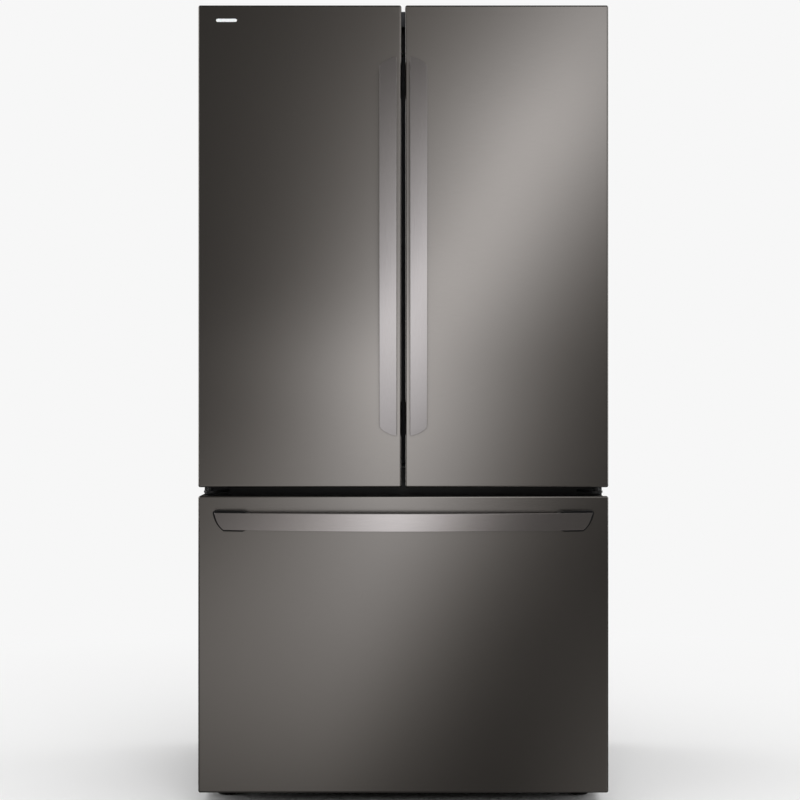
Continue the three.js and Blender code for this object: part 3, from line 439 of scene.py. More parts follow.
PAINTS = {
    "black_steel": black_steel("black_steel", (0.405, 0.386, 0.369), 0.2, (30, 30, 1400)),
    "handle_steel": black_steel("handle_steel", (0.61, 0.585, 0.588), 0.22, (900, 900, 30)),
    # A paler copy of handle_steel for the drawer's bar, its grain along X: painted light, the paler colour
    # stands in for the brighter light on that bar.
    "drawer_bar_steel_painted_light": black_steel("drawer_bar_steel_painted_light", (0.86, 0.82, 0.82), 0.2, (30, 900, 900)),
    "case_paint": painted_steel("case_paint", (0.030, 0.030, 0.031), 0.48),
    "galvanised": galvanised("galvanised", (0.52, 0.53, 0.54)),
    "black_plastic": moulded("black_plastic", (0.0035, 0.0035, 0.0038), 0.55, 1300.0, 0.00008, 0.10, 0.10,
                             Specular_IOR_Level=0.2),
    "grey_plastic": moulded("grey_plastic", (0.034, 0.035, 0.038), 0.5, 1300.0, 0.00008, 0.08, 0.15),
    "white_plastic": moulded("white_plastic", (0.80, 0.81, 0.82), 0.32, 700.0, 0.00003, 0.02,
                             Subsurface_Weight=0.05, Subsurface_Scale=0.01),
    "foamed_panel": moulded("foamed_panel", (0.78, 0.79, 0.80), 0.34, 700.0, 0.00003, 0.02),
    "foam": foam("foam"),
    "gasket": moulded("gasket", (0.040, 0.041, 0.044), 0.62, 900.0, 0.00006, 0.08, 0.1, Sheen_Weight=0.15),
    "clear_plastic": clear("clear_plastic", (0.93, 0.96, 0.97), 0.07, 1.46, 22.0),
    "shelf_glass": clear("shelf_glass", (0.86, 0.95, 0.92), 0.02, 1.5, 12.0),
    "lens": light_lens("lens"),
    "fins": galvanised("fins", (0.66, 0.67, 0.68)),
    "compressor_black": painted_steel("compressor_black", (0.014, 0.014, 0.015), 0.35, 0.4),
}


def paint_nodes():
    """Every CAD node that shows gets the finish of its slot."""
    for name, node in frame["nodes"].items():
        for material_slot in node.material_slots:
            material_slot.material = PAINTS[SLOT_OF[name]]


# ---------------- shape helpers

BODY_OF = {node: body for body, nodes in frame["record"]["behaviour"]["bodies"].items() for node in nodes}
SLOT_OF = {row["node"]: row["material_slot"] for row in frame["record"]["subparts"]}
ORDER = {"x": (1, 2, 0), "y": (0, 2, 1), "z": (0, 1, 2)}  # a 3-D point as (u, v, level) along an axis


def near(a, b):
    return abs(a - b) < NEAR


def placed(along, outline, level):
    """An outline of (u, v) points as 3-D points, at one level along an axis."""
    if along == "x":
        return [(level, u, v) for u, v in outline]
    if along == "y":
        return [(u, level, v) for u, v in outline]
    return [(u, v, level) for u, v in outline]


def circle(radius, centre=(0, 0), count=48, start=0.0):
    """Points evenly round a circle, the first at the angle `start`."""
    angles = [start + math.tau * i / count for i in range(count)]
    return [(centre[0] + radius * math.cos(a), centre[1] + radius * math.sin(a)) for a in angles]


def rounded_rectangle(low, high, corner, inset=0.0, steps=5):
    """A rectangle with round corners, shrunk by an inset that its corners follow."""
    radius = max(corner - inset, 0.0002)
    left, bottom = low[0] + inset + radius, low[1] + inset + radius
    right, top = high[0] - inset - radius, high[1] - inset - radius
    points = []
    for quadrant, (u, v) in enumerate([(right, top), (left, top), (left, bottom), (right, bottom)]):
        for i in range(steps + 1):
            angle = math.pi / 2 * (quadrant + i / steps)
            points.append((u + radius * math.cos(angle), v + radius * math.sin(angle)))
    return points


def quarter(steps=4):
    """(sine, cosine) along a quarter turn."""
    return [(math.sin(math.pi / 2 * i / steps), math.cos(math.pi / 2 * i / steps)) for i in range(steps + 1)]


def loft(form, loops, closed=False):
    """Skins equal rings of points one after another; an open loft gets both ends capped."""
    rings = [[form.verts.new(point) for point in loop] for loop in loops]
    pairs = list(zip(rings, rings[1:]))
    if closed:
        pairs.append((rings[-1], rings[0]))
    for near, far in pairs:
        for i, vert in enumerate(near):
            j = (i + 1) % len(near)
            form.faces.new((vert, near[j], far[j], far[i]))
    if not closed:
        form.faces.new(rings[0][::-1])
        form.faces.new(rings[-1])


def slab(form, along, low, high, corner=0.002, edge=0.0008):
    """A plate across an axis, with round corners in plan and rounded edges."""
    low, high = ([point[i] for i in ORDER[along]] for point in (low, high))
    levels = [(edge * (1 - s), low[2] + edge * (1 - c)) for s, c in quarter()]
    levels += [(edge * (1 - c), high[2] - edge * (1 - s)) for s, c in quarter()]
    loft(form, [placed(along, rounded_rectangle(low, high, corner, inset), level) for inset, level in levels])


def ring(form, along, low, high, section, corner=0.003):
    """A closed frame across an axis; the section's points are (inset from the outside, level)."""
    low, high = ([point[i] for i in ORDER[along]] for point in (low, high))
    loops = [placed(along, rounded_rectangle(low, high, corner, inset), level) for inset, level in section]
    loft(form, loops, closed=True)


def lathe(form, along, centre, profile, count=48, start=0.0):
    """A turned solid; the profile's points are (radius, level)."""
    point = 2e-5  # stands for a radius of 0, so that no two points of a ring fall together
    rings = [(circle(max(radius, point), centre, count, start), level) for radius, level in profile]
    loft(form, [placed(along, outline, level) for outline, level in rings])


def tray(form, low, high, wall=0.0025, corner=0.012, lip=0.003, lip_height=0.010, fillet=0.005):
    """An open-topped moulded tray: walls in from a lip round the top, rounded outside and in."""
    inner = lip + wall
    soft = 0.0012
    levels = [(lip + fillet * (1 - s), low.z + fillet * (1 - c)) for s, c in quarter()]
    levels += [(lip, high.z - lip_height), (0.0, high.z - lip_height + soft), (0.0, high.z - soft)]
    levels += [(soft * 0.3, high.z - soft * 0.3), (soft, high.z), (inner - soft, high.z)]
    levels += [(inner, high.z - soft)]
    levels += [(inner + fillet * (1 - c), low.z + wall + fillet * (1 - s)) for s, c in quarter()]
    loops = [placed("z", rounded_rectangle(low, high, corner, inset), level) for inset, level in levels]
    loft(form, loops)


def tube(form, points, radius, count=12):
    """A round bar or pipe along a path."""
    points = [Vector(point) for point in points]
    side = (points[1] - points[0]).orthogonal()
    loops = []
    for i, point in enumerate(points):
        ahead = (points[min(i + 1, len(points) - 1)] - points[max(i - 1, 0)]).normalized()
        side = (side - ahead * side.dot(ahead)).normalized()
        up = ahead.cross(side)
        loops.append([point + u * side + v * up for u, v in circle(radius, count=count)])
    loft(form, loops)


def cad_form(node):
    """An editable copy of a CAD node's mesh, its flat faces made whole again."""
    form = bmesh.new()
    form.from_mesh(frame["nodes"][node].data)
    bmesh.ops.remove_doubles(form, verts=form.verts, dist=2e-6)
    bmesh.ops.dissolve_limit(form, angle_limit=math.radians(0.05), verts=form.verts, edges=form.edges,
                             use_dissolve_boundaries=False)
    return form


def round_edges(form, width, segments=2, where=None, sharper_than=30, clamp=False):
    """Rounds the sharp edges of a form, or those of them that `where` picks by their two ends."""
    limit = math.radians(sharper_than)
    edges = [e for e in form.edges if len(e.link_faces) == 2 and e.calc_face_angle() > limit]
    if where:
        edges = [e for e in edges if where(e.verts[0].co, e.verts[1].co)]
    bmesh.ops.bevel(form, geom=edges, offset=width, offset_type="OFFSET", segments=segments, profile=0.5,
                    affect="EDGES", clamp_overlap=clamp)


def make_piece(name, form, body, slot, nodes=(), paints=None, smooth=34):
    """Turns a form into a piece that rides on a body, wears a slot's finish and hides the CAD nodes that it
    takes the place of.
    """
    bmesh.ops.dissolve_degenerate(form, dist=2e-6, edges=form.edges)
    bmesh.ops.recalc_face_normals(form, faces=form.faces)
    mesh = bpy.data.meshes.new(name)
    form.to_mesh(mesh)
    form.free()
    mesh.shade_smooth()
    mesh.set_sharp_from_angle(angle=math.radians(smooth))
    for paint in paints or [slot]:
        mesh.materials.append(PAINTS[paint])
    piece = bpy.data.objects.new(name, mesh)
    scene.collection.objects.link(piece)
    weighted = piece.modifiers.new("weighted_normals", "WEIGHTED_NORMAL")
    weighted.keep_sharp = True
    weighted.weight = 100
    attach(piece, body)
    if nodes:
        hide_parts(*nodes)
    piece.visible_shadow = slot not in ("clear_plastic", "shelf_glass")
    return piece


def finish_node(node, form, paints=None):
    """The piece that takes one CAD node's place; the node is hidden."""
    return make_piece(f"{node}_finished", form, BODY_OF[node], SLOT_OF[node], [node], paints)


def soften(node, width, segments=2, **how):
    """The CAD node's own shape with its sharp edges rounded."""
    form = cad_form(node)
    round_edges(form, width, segments, **how)
    return finish_node(node, form)


# ---------------- outside

SIDES = ("left", "right")


def make_fronts():
    """The steel skins, and the three handles on their carriers."""
    for skin in ("left_door_skin", "right_door_skin", "drawer_skin"):
        finish_node(skin, cad_form(skin))
    for handle in ("left_door_handle", "right_door_handle"):
        soften(handle, 0.0004, 2, sharper_than=40)
    for carrier in ("left_handle_carrier", "right_handle_carrier"):
        soften(carrier, 0.0006, 1, sharper_than=40)
    make_drawer_handle()


def make_drawer_handle():
    """The drawer's bar, its lower edge arched a little, on a carrier that tapers in from the ends."""
    low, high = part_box("drawer_handle")
    lift, sag, lower_sag = 0.0014, 0.0009, 0.0012
    shorter = 0.0014  # at each end of the bar, so that the carrier shows round it
    hidden = 0.0008  # how far inside the bar's edges the carrier's inner ends stay

    def arched(co):
        along = 1 - (co.x / high.x) ** 2
        rise = max(0.0, min(1.0, (co.z - low.z) / (high.z - low.z)))
        return co.z + lift - along * (sag + lower_sag * (1 - rise))

    bar = cad_form("drawer_handle")
    round_edges(bar, 0.0005, 2, sharper_than=40)
    for vert in bar.verts:
        vert.co.z = arched(vert.co)
        vert.co.x *= 1 - shorter / high.x
    # The bar wears the paler copy of the handle steel: painted light.
    finish_node("drawer_handle", bar, ["drawer_bar_steel_painted_light"])
    carrier = cad_form("drawer_handle_carrier")
    mount_end = min(abs(v.co.x) for v in carrier.verts if v.co.z > high.z + 0.003)
    for vert in carrier.verts:
        if near(abs(vert.co.x), mount_end):
            vert.co.z = max(low.z + hidden, min(high.z - hidden, vert.co.z))
        vert.co.z = arched(vert.co)
    finish_node("drawer_handle_carrier", carrier)


def make_badge():
    """A small plain bar near the left door's upper corner, with no mark on it."""
    low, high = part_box("left_door_skin")
    form = bmesh.new()
    left, middle = low.x + 0.040, high.z - 0.034
    length, half, proud = 0.046, 0.0035, 0.0012
    slab(form, "y", (left, FRONT_Y - proud, middle - half), (left + length, FRONT_Y + 0.0002, middle + half),
         0.0034, 0.0006)
    make_piece("plain_badge", form, "left_door", "white_plastic")


def gasket_section(base, face, width):
    """Bellows and magnet strip of a door seal: (inset, level) points round it."""
    middle = width / 2
    steps, folds, fold_depth = 12, 3, 0.0014
    bulges = []
    for i in range(steps + 1):
        level = base + (face - base) * i / steps
        half = middle - 0.0016 + fold_depth * math.cos(math.tau * folds * i / steps)
        bulges.append((half, level))
    outer_side = [(middle - half, level) for half, level in bulges]
    return outer_side + [(middle + half, level) for half, level in bulges[::-1]]


def make_gaskets():
    """The seals of the doors and the drawer."""
    for node in ("left_door_gasket", "right_door_gasket", "drawer_gasket"):
        low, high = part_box(node)
        form = bmesh.new()
        ring(form, "y", low, high, gasket_section(low.y, high.y, width=0.022), corner=0.006)
        finish_node(node, form)


def paint_lining_and_gap_shade(form, low, high):
    """White inside the seal's outline; outside it and in front, dark: painted shade, so that the gaps between
    the fronts read black.
    """
    margin = 0.003
    for face in form.faces:
        centre = face.calc_center_median()
        inside = low.x + margin < centre.x < high.x - margin and low.z + margin < centre.z < high.z - margin
        # Dark here is painted shade for the gaps between the fronts; the lining itself is white.
        face.material_index = 0 if inside and centre.y > FRONT_Y + 0.02 else 1


def make_door_inners():
    """The white moulded linings of the doors and the drawer, dark outside the seals and in front as painted
    shade for the gaps.
    """
    behind_edge = FRONT_Y + 0.05  # everything of the raised rims is behind this plane
    rim_near, rim_far = 0.063, 0.399  # a door rim's reach from the cabinet's middle
    rim_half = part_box("drawer_inner")[1].x - 0.06  # the drawer rim's
    rim_bottom, rim_top = 0.1, 0.66

    def on_door_rim(a, b):
        return all(rim_near < abs(p.x) < rim_far and p.y > behind_edge for p in (a, b))

    def on_drawer_rim(a, b):
        return all(abs(p.x) < rim_half and p.y > behind_edge and rim_bottom < p.z < rim_top for p in (a, b))

    for front, on_rim in (("left_door", on_door_rim), ("right_door", on_door_rim), ("drawer", on_drawer_rim)):
        form = cad_form(f"{front}_inner")
        round_edges(form, 0.005, 3, where=on_rim)
        # Outside the seal and near the front the lining is painted dark: painted shade for the gaps between
        # the fronts.
        paint_lining_and_gap_shade(form, *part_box(f"{front}_gasket"))
        finish_node(f"{front}_inner", form, ["white_plastic", "black_plastic"])


def make_case():
    """The painted case, its rear sheets and the hinges, with rounded folds."""
    low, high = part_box("cabinet_shell")

    def outer_fold(a, b):
        on_side = all(near(abs(p.x), high.x) for p in (a, b))
        on_top = all(near(p.z, high.z) for p in (a, b))
        in_front = all(near(p.y, low.y) for p in (a, b))
        behind = all(near(p.y, high.y) for p in (a, b))
        return not behind and (on_side + on_top == 2 or (on_side + on_top == 1 and in_front))

    soften("cabinet_shell", 0.0022, 3, where=outer_fold)
    cover_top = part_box("top_cover")[1].z
    soften("top_cover", 0.0025, 3, where=lambda a, b: min(a.z, b.z) > cover_top - NEAR)
    soften("base_pan", 0.0004, 1, clamp=True)
    soften("machine_cover", 0.0003, 1)
    soften("rear_panel", 0.0003, 1)
    for side in SIDES:
        soften(f"top_hinge_{side}", 0.0007, 2, sharper_than=50)
        soften(f"centre_hinge_{side}", 0.0007, 2, sharper_than=50)


def screw_head(form, x, z, y, turn):
    """A hex washer head screwed into a sheet whose outer face is at y."""
    washer = [(0.0056, y - 0.0005), (0.0056, y + 0.0004), (0.0048, y + 0.0007), (0.0, y + 0.0007)]
    lathe(form, "y", (x, z), washer, 24)
    head = [(0.0038, y + 0.0004), (0.0038, y + 0.0019), (0.0032, y + 0.0023), (0.0, y + 0.0023)]
    lathe(form, "y", (x, z), head, 6, turn)


def make_screws():
    """Screws along the edges of the rear sheet and of the machine bay's cover."""
    inset, cover_inset = 0.012, 0.010
    rows, columns = 8, 5
    low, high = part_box("rear_panel")
    spots = []
    for i in range(rows):
        z = low.z + inset + (high.z - low.z - 2 * inset) * i / (rows - 1)
        spots += [(low.x + inset, z), (high.x - inset, z)]
    for i in range(1, columns):
        x = low.x + (high.x - low.x) * i / columns
        spots += [(x, high.z - inset), (x, low.z + inset)]
    sheet_face = high.y
    low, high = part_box("machine_cover")
    for i in range(columns + 1):
        x = low.x + inset + (high.x - low.x - 2 * inset) * i / columns
        spots += [(x, high.z - cover_inset), (x, low.z + cover_inset)]
    turn_between = 2.4  # so that no two heads stand alike
    form = bmesh.new()
    for i, (x, z) in enumerate(spots):
        screw_head(form, x, z, sheet_face, turn_between * i)
    make_piece("rear_screws", form, "cabinet", "galvanised")


def make_supports():
    """Two levelling legs with a hexagon and a threaded stem, and two rollers on an axle."""
    for side in SIDES:
        node = f"levelling_leg_{side}"
        low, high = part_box(node)
        centre = ((low.x + high.x) / 2, (low.y + high.y) / 2)
        form = bmesh.new()
        pad = high.x - low.x
        foot = [(0.46 * pad, 0.0), (0.5 * pad, 0.0015), (0.5 * pad, 0.006), (0.46 * pad, 0.0085),
                (0.3 * pad, 0.010), (0.0, 0.010)]
        lathe(form, "z", centre, foot, 40)
        hexagon = [(0.0105, 0.009), (0.011, 0.0098), (0.011, 0.0172), (0.0105, 0.018), (0.0, 0.018)]
        lathe(form, "z", centre, hexagon, 6)
        turns, crest, root = 18, 0.006, 0.0052
        stem = [(0.0, 0.016)]
        for i in range(2 * turns):
            stem.append((crest if i % 2 else root, 0.017 + (high.z - 0.018) * i / (2 * turns)))
        stem.append((0.0, high.z))
        lathe(form, "z", centre, stem, 24)
        finish_node(node, form)
    low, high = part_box("rear_rollers")
    centre = ((low.y + high.y) / 2, (low.z + high.z) / 2)
    radius = (high.z - low.z) / 2
    form = bmesh.new()
    axle = [(0.0, low.x), (0.0035, low.x), (0.004, low.x + 0.001), (0.004, high.x - 0.001), (0.0035, high.x),
            (0.0, high.x)]
    lathe(form, "x", centre, axle, 24)
    half = 0.010
    for middle in (low.x + 0.020, high.x - 0.020):
        tyre = [(0.010, middle - half - 0.001), (0.013, middle - half), (radius - 0.002, middle - half),
                (radius, middle - half + 0.002), (radius, middle - 0.002), (radius - 0.001, middle - 0.0012),
                (radius - 0.001, middle + 0.0012), (radius, middle + 0.002), (radius, middle + half - 0.002),
                (radius - 0.002, middle + half), (0.013, middle + half), (0.010, middle + half + 0.001)]
        lathe(form, "x", centre, tyre, 48)
    finish_node("rear_rollers", form)


# ---------------- fresh food compartment


def make_liners():
    """Both liners, with soft corners between their walls."""
    low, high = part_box("fresh_food_liner")
    wall = 0.002
    floor, ceiling, rear, side = low.z + wall, high.z - wall, high.y - wall, high.x - wall

    def level_corner(a, b):
        in_room = all(abs(p.x) < side + NEAR and p.y < rear + NEAR for p in (a, b))
        on_level = all(near(p.z, floor) for p in (a, b)) or all(near(p.z, ceiling) for p in (a, b))
        on_wall = all(near(abs(p.x), side) for p in (a, b)) or all(near(p.y, rear) for p in (a, b))
        return in_room and on_level and on_wall

    soften("fresh_food_liner", 0.008, 4, where=level_corner)
    low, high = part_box("freezer_liner")

    def inside(a, b):
        clear_of_sides = all(abs(p.x) < high.x - NEAR and p.y < high.y - NEAR for p in (a, b))
        clear_of_levels = all(low.z + NEAR < p.z < high.z - NEAR for p in (a, b))
        return clear_of_sides and clear_of_levels and not all(near(p.y, low.y) for p in (a, b))

    soften("freezer_liner", 0.006, 3, where=inside)


def shelf_frame(low, high, rim, thick=0.013, corner=0.006):
    """A moulded rim and the glass that lies in it, just below its top."""
    form = bmesh.new()
    section = rounded_rectangle((0.0, high.z - thick), (rim, high.z), 0.0022, steps=3)
    ring(form, "z", low, high, section, corner)
    glass = bmesh.new()
    sunk = rim - 0.002
    glass_low = (low.x + sunk, low.y + sunk, high.z - 0.0046)
    glass_high = (high.x - sunk, high.y - sunk, high.z - 0.0006)
    slab(glass, "z", glass_low, glass_high, 0.002, 0.0006)
    return form, glass


def make_shelves():
    """Four glass shelves, each on two arms that hook into the rear wall."""
    arm_top, arm_root = 0.0125, 0.012
    for level in ("upper", "lower"):
        for side in SIDES:
            node = f"shelf_{side}_{level}"
            low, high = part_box(node)
            form, glass = shelf_frame(low, high, rim=0.016)
            make_piece(f"{node}_rim", form, "cabinet", "white_plastic", [node])
            make_piece(f"{node}_glass", glass, "cabinet", "shelf_glass")
            arms = bmesh.new()
            for x in (low.x, high.x - 0.003):
                top = high.z - arm_top
                profile = [(0.020, top), (high.y, top), (high.y, low.z), (high.y - arm_root, low.z)]
                loft(arms, [placed("x", profile, x + 0.0002), placed("x", profile, x + 0.0028)])
            round_edges(arms, 0.0006, 2, sharper_than=50)
            make_piece(f"{node}_arms", arms, "cabinet", "white_plastic")


def make_crisper_cover():
    """The glass over the crispers, with the walls and runners that they slide between."""
    low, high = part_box("crisper_cover")
    form, glass = shelf_frame(low, high, rim=0.019)
    front, back, under_rim = low.y + 0.004, high.y - 0.016, high.z - 0.012
    for x, thick in ((low.x, 0.003), (-0.002, 0.004), (high.x - 0.003, 0.003)):
        slab(form, "x", (x, front, low.z), (x + thick, back, under_rim), 0.001, 0.0005)
    for x0, x1 in ((low.x, low.x + 0.010), (-0.011, 0.011), (high.x - 0.010, high.x)):
        slab(form, "z", (x0, front, low.z), (x1, back, low.z + 0.003), 0.001, 0.0006)
    post_low, post_high = (-0.0018, low.y + 0.002, low.z + 0.001), (0.0018, low.y + 0.006, under_rim)
    slab(form, "y", post_low, post_high, 0.001, 0.0006)
    make_piece("crisper_cover_rim", form, "cabinet", "white_plastic", ["crisper_cover"])
    make_piece("crisper_cover_glass", glass, "cabinet", "shelf_glass")


CLEAR_WITH_LIP = ["clear_plastic", "white_plastic"]


def whiten_lip(form, height):
    """The second finish for everything above a height."""
    for face in form.faces:
        face.material_index = 1 if face.calc_center_median().z > height else 0


def make_bins():
    """Three clear bins on each door."""
    for side in SIDES:
        for level in ("upper", "middle", "lower"):
            node = f"{side}_bin_{level}"
            low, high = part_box(node)
            form = bmesh.new()
            tray(form, low, high, wall=0.0022, corner=0.016, lip_height=0.014, fillet=0.006)
            whiten_lip(form, high.z - 0.0142)
            finish_node(node, form, CLEAR_WITH_LIP)


def drawer_pull(name, body, x0, x1, front, top):
    """A hooked lip along a drawer's front, open below for the fingers."""
    root, reach = front + 0.0006, front - 0.0088
    thick, drop = 0.0026, 0.026
    outline = [(root, top - 0.0006), (reach, top - 0.0006), (reach, top - drop),
               (reach + thick, top - drop), (reach + thick, top - 0.0036), (root, top - 0.0036)]
    form = bmesh.new()
    loft(form, [placed("x", outline, x0), placed("x", outline, x1)])
    round_edges(form, 0.0010, 3, sharper_than=50)
    make_piece(name, form, body, "white_plastic")


def make_drawers_inside():
    """Two crispers that hang from runners, and the pantry drawer under them."""
    pull, lip_height, lip_line = 0.009, 0.012, 0.0122
    flange, into_wall = 0.009, 0.0045
    runner_height, runner_half = 1.034, 0.0015
    for side in SIDES:
        node = f"crisper_{side}"
        low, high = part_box(node)
        body_low = Vector((low.x + flange, low.y + pull, low.z))
        body_high = Vector((high.x - flange, high.y, high.z))
        form = bmesh.new()
        tray(form, body_low, body_high, corner=0.014, lip_height=lip_height, fillet=0.006)
        bottom, top = runner_height - runner_half, runner_height + runner_half
        for x0, x1 in ((low.x, body_low.x + into_wall), (body_high.x - into_wall, high.x)):
            slab(form, "z", (x0, body_low.y + 0.006, bottom), (x1, high.y, top), 0.002, 0.0006)
        whiten_lip(form, high.z - lip_line)
        finish_node(node, form, CLEAR_WITH_LIP)
        pull_ends = (body_low.x + 0.070, body_high.x - 0.070)
        drawer_pull(f"{node}_pull", BODY_OF[node], *pull_ends, body_low.y, high.z)
    low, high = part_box("pantry_drawer")
    form = bmesh.new()
    body_low = Vector((low.x, low.y + pull, low.z))
    tray(form, body_low, high, wall=0.003, corner=0.014, lip_height=lip_height, fillet=0.006)
    whiten_lip(form, high.z - lip_line)
    finish_node("pantry_drawer", form, CLEAR_WITH_LIP)
    drawer_pull("pantry_drawer_pull", BODY_OF["pantry_drawer"], -0.160, 0.160, body_low.y, high.z)


def make_fresh_fittings():
    """The air duct, the ceiling light, the water dispenser, and the mullion with its lip."""
    soften("fresh_air_duct", 0.0008, 2)
    low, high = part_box("ceiling_light")
    form = bmesh.new()
    section = rounded_rectangle((0.0, low.z), (0.007, high.z), 0.002, steps=3)
    ring(form, "z", low, high, section, 0.012)
    make_piece("ceiling_light_bezel", form, "cabinet", "white_plastic", ["ceiling_light"])
    form = bmesh.new()
    inset = 0.006
    lens_low = (low.x + inset, low.y + inset, low.z + 0.0015)
    lens_high = (high.x - inset, high.y - inset, high.z - 0.0005)
    slab(form, "z", lens_low, lens_high, 0.007, 0.002)
    make_piece("ceiling_light_lens", form, "cabinet", "lens")
    soften("water_dispenser", 0.0009, 2, sharper_than=40)
    soften("dispenser_lever", 0.0007, 2, sharper_than=40)
    soften("flip_mullion", 0.0010, 2, sharper_than=40)
    low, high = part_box("flip_mullion")
    form = bmesh.new()
    lip_low = (high.x - 0.003, low.y + 0.0012, low.z + 0.002)
    lip_high = (high.x + 0.006, low.y + 0.0026, high.z - 0.002)
    slab(form, "y", lip_low, lip_high, 0.0004, 0.0004)
    make_piece("mullion_lip", form, "mullion", "gasket")


# ---------------- freezer and machinery


def make_freezer():
    """The basket with its flanges and ribs, the tray over it, the drawer's frame and slides."""
    low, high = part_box("freezer_basket")
    flange = 0.016
    wall = high.x - flange
    ribs, rib_half = 9, 0.003
    rib_bottom, rib_top = low.z + 0.020, high.z - 0.018
    form = bmesh.new()
    inwards = Vector((flange, 0, 0))
    tray(form, low + inwards, high - inwards, wall=0.003, corner=0.022, lip_height=0.014, fillet=0.010)
    for sign in (-1, 1):
        x0, x1 = sorted((sign * (wall - 0.003), sign * high.x))
        slab(form, "z", (x0, low.y + 0.004, high.z - 0.0033), (x1, high.y - 0.004, high.z), 0.004, 0.0012)
    for sign in (-1, 1):
        for i in range(ribs):
            y = low.y + 0.034 + (high.y - low.y - 0.068) * i / (ribs - 1)
            x0, x1 = sorted((sign * (wall - 0.0032), sign * (wall - 0.0008)))
            slab(form, "x", (x0, y - rib_half, rib_bottom), (x1, y + rib_half, rib_top), 0.0028, 0.001)
    finish_node("freezer_basket", form)
    low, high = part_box("freezer_tray")
    form = bmesh.new()
    tray(form, low, high, wall=0.003, corner=0.016, lip_height=0.014, fillet=0.008)
    whiten_lip(form, high.z - 0.0142)
    finish_node("freezer_tray", form, CLEAR_WITH_LIP)
    soften("drawer_frame", 0.0008, 2, sharper_than=50)
    for side in SIDES:
        soften(f"slide_rail_{side}", 0.0005, 2, sharper_than=50)
    soften("freezer_duct_cover", 0.0006, 2, sharper_than=50)


def serpentine(x0, x1, rows):
    """A pipe's path back and forth along X through rows of (y, z), with round bends between them."""
    points = []
    bend_steps = 8
    for i, (y, z) in enumerate(rows):
        ends = (x0, x1) if i % 2 == 0 else (x1, x0)
        points += [(ends[0], y, z), (ends[1], y, z)]
        if i + 1 < len(rows):
            outwards = 1 if i % 2 == 0 else -1
            next_y, next_z = rows[i + 1]
            reach = math.hypot(next_y - y, next_z - z) / 2
            for k in range(1, bend_steps):
                angle = math.pi * k / bend_steps
                x = ends[1] + outwards * reach * math.sin(angle)
                along = (1 - math.cos(angle)) / 2
                points.append((x, y + (next_y - y) * along, z + (next_z - z) * along))
    return points


def heat_exchanger(node, fins, columns, rows, margin=0.014):
    """Thin fins across one long pipe."""
    low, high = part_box(node)
    form = bmesh.new()
    x0, x1 = low.x + margin, high.x - margin
    end_plate, fin = 0.0012, 0.0003
    front, back, bottom = low.y + 0.0005, high.y - 0.0005, low.z + 0.012
    for i in range(fins):
        x = x0 + (x1 - x0) * i / (fins - 1)
        half = (end_plate if i in (0, fins - 1) else fin) / 2
        slab(form, "x", (x - half, front, bottom), (x + half, back, high.z), 0.003, 0.0001)
    spacing = (high.z - low.z - 0.044) / (rows - 1)
    for column in range(columns):
        y = low.y + (high.y - low.y) * (column + 0.5) / columns
        centres = [(y, low.z + 0.028 + spacing * row) for row in range(rows)]
        tube(form, serpentine(x0 - 0.001, x1 + 0.001, centres), 0.0038, 10)
    finish_node(node, form, ["fins"])


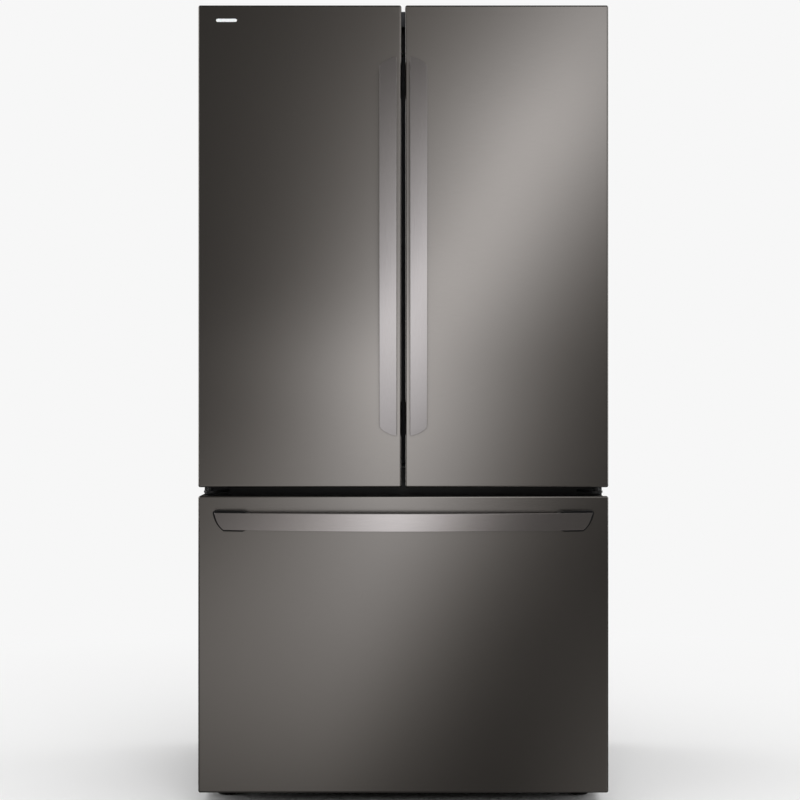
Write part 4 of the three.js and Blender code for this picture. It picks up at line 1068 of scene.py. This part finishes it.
def make_fan(node, along, blades, hub):
    """An axial fan: a domed hub and blades that twist from root to tip."""
    low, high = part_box(node)
    centre = (low + high) / 2
    order = ORDER[along]
    axis = order[2]
    spread = [high[order[0]] - low[order[0]], high[order[1]] - low[order[1]]]
    radius = min(spread) / 2 - 0.001
    depth = (high[axis] - low[axis]) / 2
    form = bmesh.new()
    middle = (centre[order[0]], centre[order[1]])
    dome = [(0.6 * hub, centre[axis] - depth + 0.0002), (hub, centre[axis] - 0.7 * depth),
            (hub, centre[axis] + 0.7 * depth), (0.85 * hub, centre[axis] + 0.93 * depth),
            (0.3 * hub, centre[axis] + depth - 0.0002)]
    lathe(form, along, middle, dome, 40)
    stations = 7
    for blade in range(blades):
        turn = math.tau * blade / blades
        loops = []
        for i in range(stations):
            t = i / (stations - 1)
            r = 0.8 * hub + (radius - 0.8 * hub) * t
            pitch = math.radians(46 - 18 * t)
            chord = min(0.016 + 0.016 * t, 0.8 * depth / math.sin(pitch)) * (1 - 0.25 * t ** 6)
            sweep = turn + 0.35 * t
            loop = []
            for u, v in circle(1.0, count=14):
                across = chord * u * math.cos(pitch)
                lift = chord * u * math.sin(pitch) + 0.0009 * v + 0.0022 * (u * u - 0.5)
                angle = sweep + across / r
                point = [0.0, 0.0, 0.0]
                point[order[0]] = middle[0] + r * math.cos(angle)
                point[order[1]] = middle[1] + r * math.sin(angle)
                point[axis] = centre[axis] + max(-0.9 * depth, min(0.9 * depth, lift))
                loop.append(tuple(point))
            loops.append(loop)
        loft(form, loops)
    finish_node(node, form)


def make_compressor():
    """A welded can with a seam, on a foot plate with four grommets, with its stub and terminal box."""
    low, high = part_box("compressor")
    can = (0.265, (low.y + high.y) / 2)
    radius = (high.y - low.y) / 2
    base = low.z + 0.0067
    seam = base + 0.55 * (high.z - base)
    shoulder = radius - 0.0025
    form = bmesh.new()
    profile = [(0.0, base), (0.70 * radius, base)]
    profile += [(radius * (0.70 + 0.30 * s), base + 0.030 * (1 - c)) for s, c in quarter(6)]
    profile += [(radius - 0.0012, seam - 0.008), (radius, seam - 0.006), (radius, seam)]
    profile += [(shoulder, seam + 0.003)]
    profile += [(shoulder * c, high.z - 0.055 * (1 - s)) for s, c in quarter(10)]
    lathe(form, "z", can, profile, 72)
    slab(form, "z", (0.175, 0.210, low.z), (high.x, 0.330, base + 0.004), 0.014, 0.0015)
    grommet = [(0.010, base + 0.002), (0.011, base + 0.006), (0.008, base + 0.009), (0.011, base + 0.012),
               (0.009, base + 0.016), (0.0, base + 0.016)]
    for x in (0.190, 0.340):
        for y in (0.222, 0.318):
            lathe(form, "z", (x, y), grommet, 24)
    stub_y, stub_z = 0.270, 0.190
    tube(form, [(x, stub_y, stub_z) for x in (0.200, 0.180, low.x)], 0.005, 16)
    slab(form, "y", (0.240, 0.1905, 0.110), (0.290, 0.200, 0.165), 0.006, 0.003)
    finish_node("compressor", form)


make_fronts()
make_badge()
make_gaskets()
make_door_inners()
make_case()
make_screws()
make_supports()
make_liners()
make_shelves()
make_crisper_cover()
make_bins()
make_drawers_inside()
make_fresh_fittings()
make_freezer()
heat_exchanger("condenser", fins=58, columns=3, rows=8)
heat_exchanger("evaporator", fins=84, columns=2, rows=9)
make_fan("condenser_fan", "x", blades=5, hub=0.017)
make_fan("evaporator_fan", "y", blades=5, hub=0.013)
make_compressor()
paint_nodes()
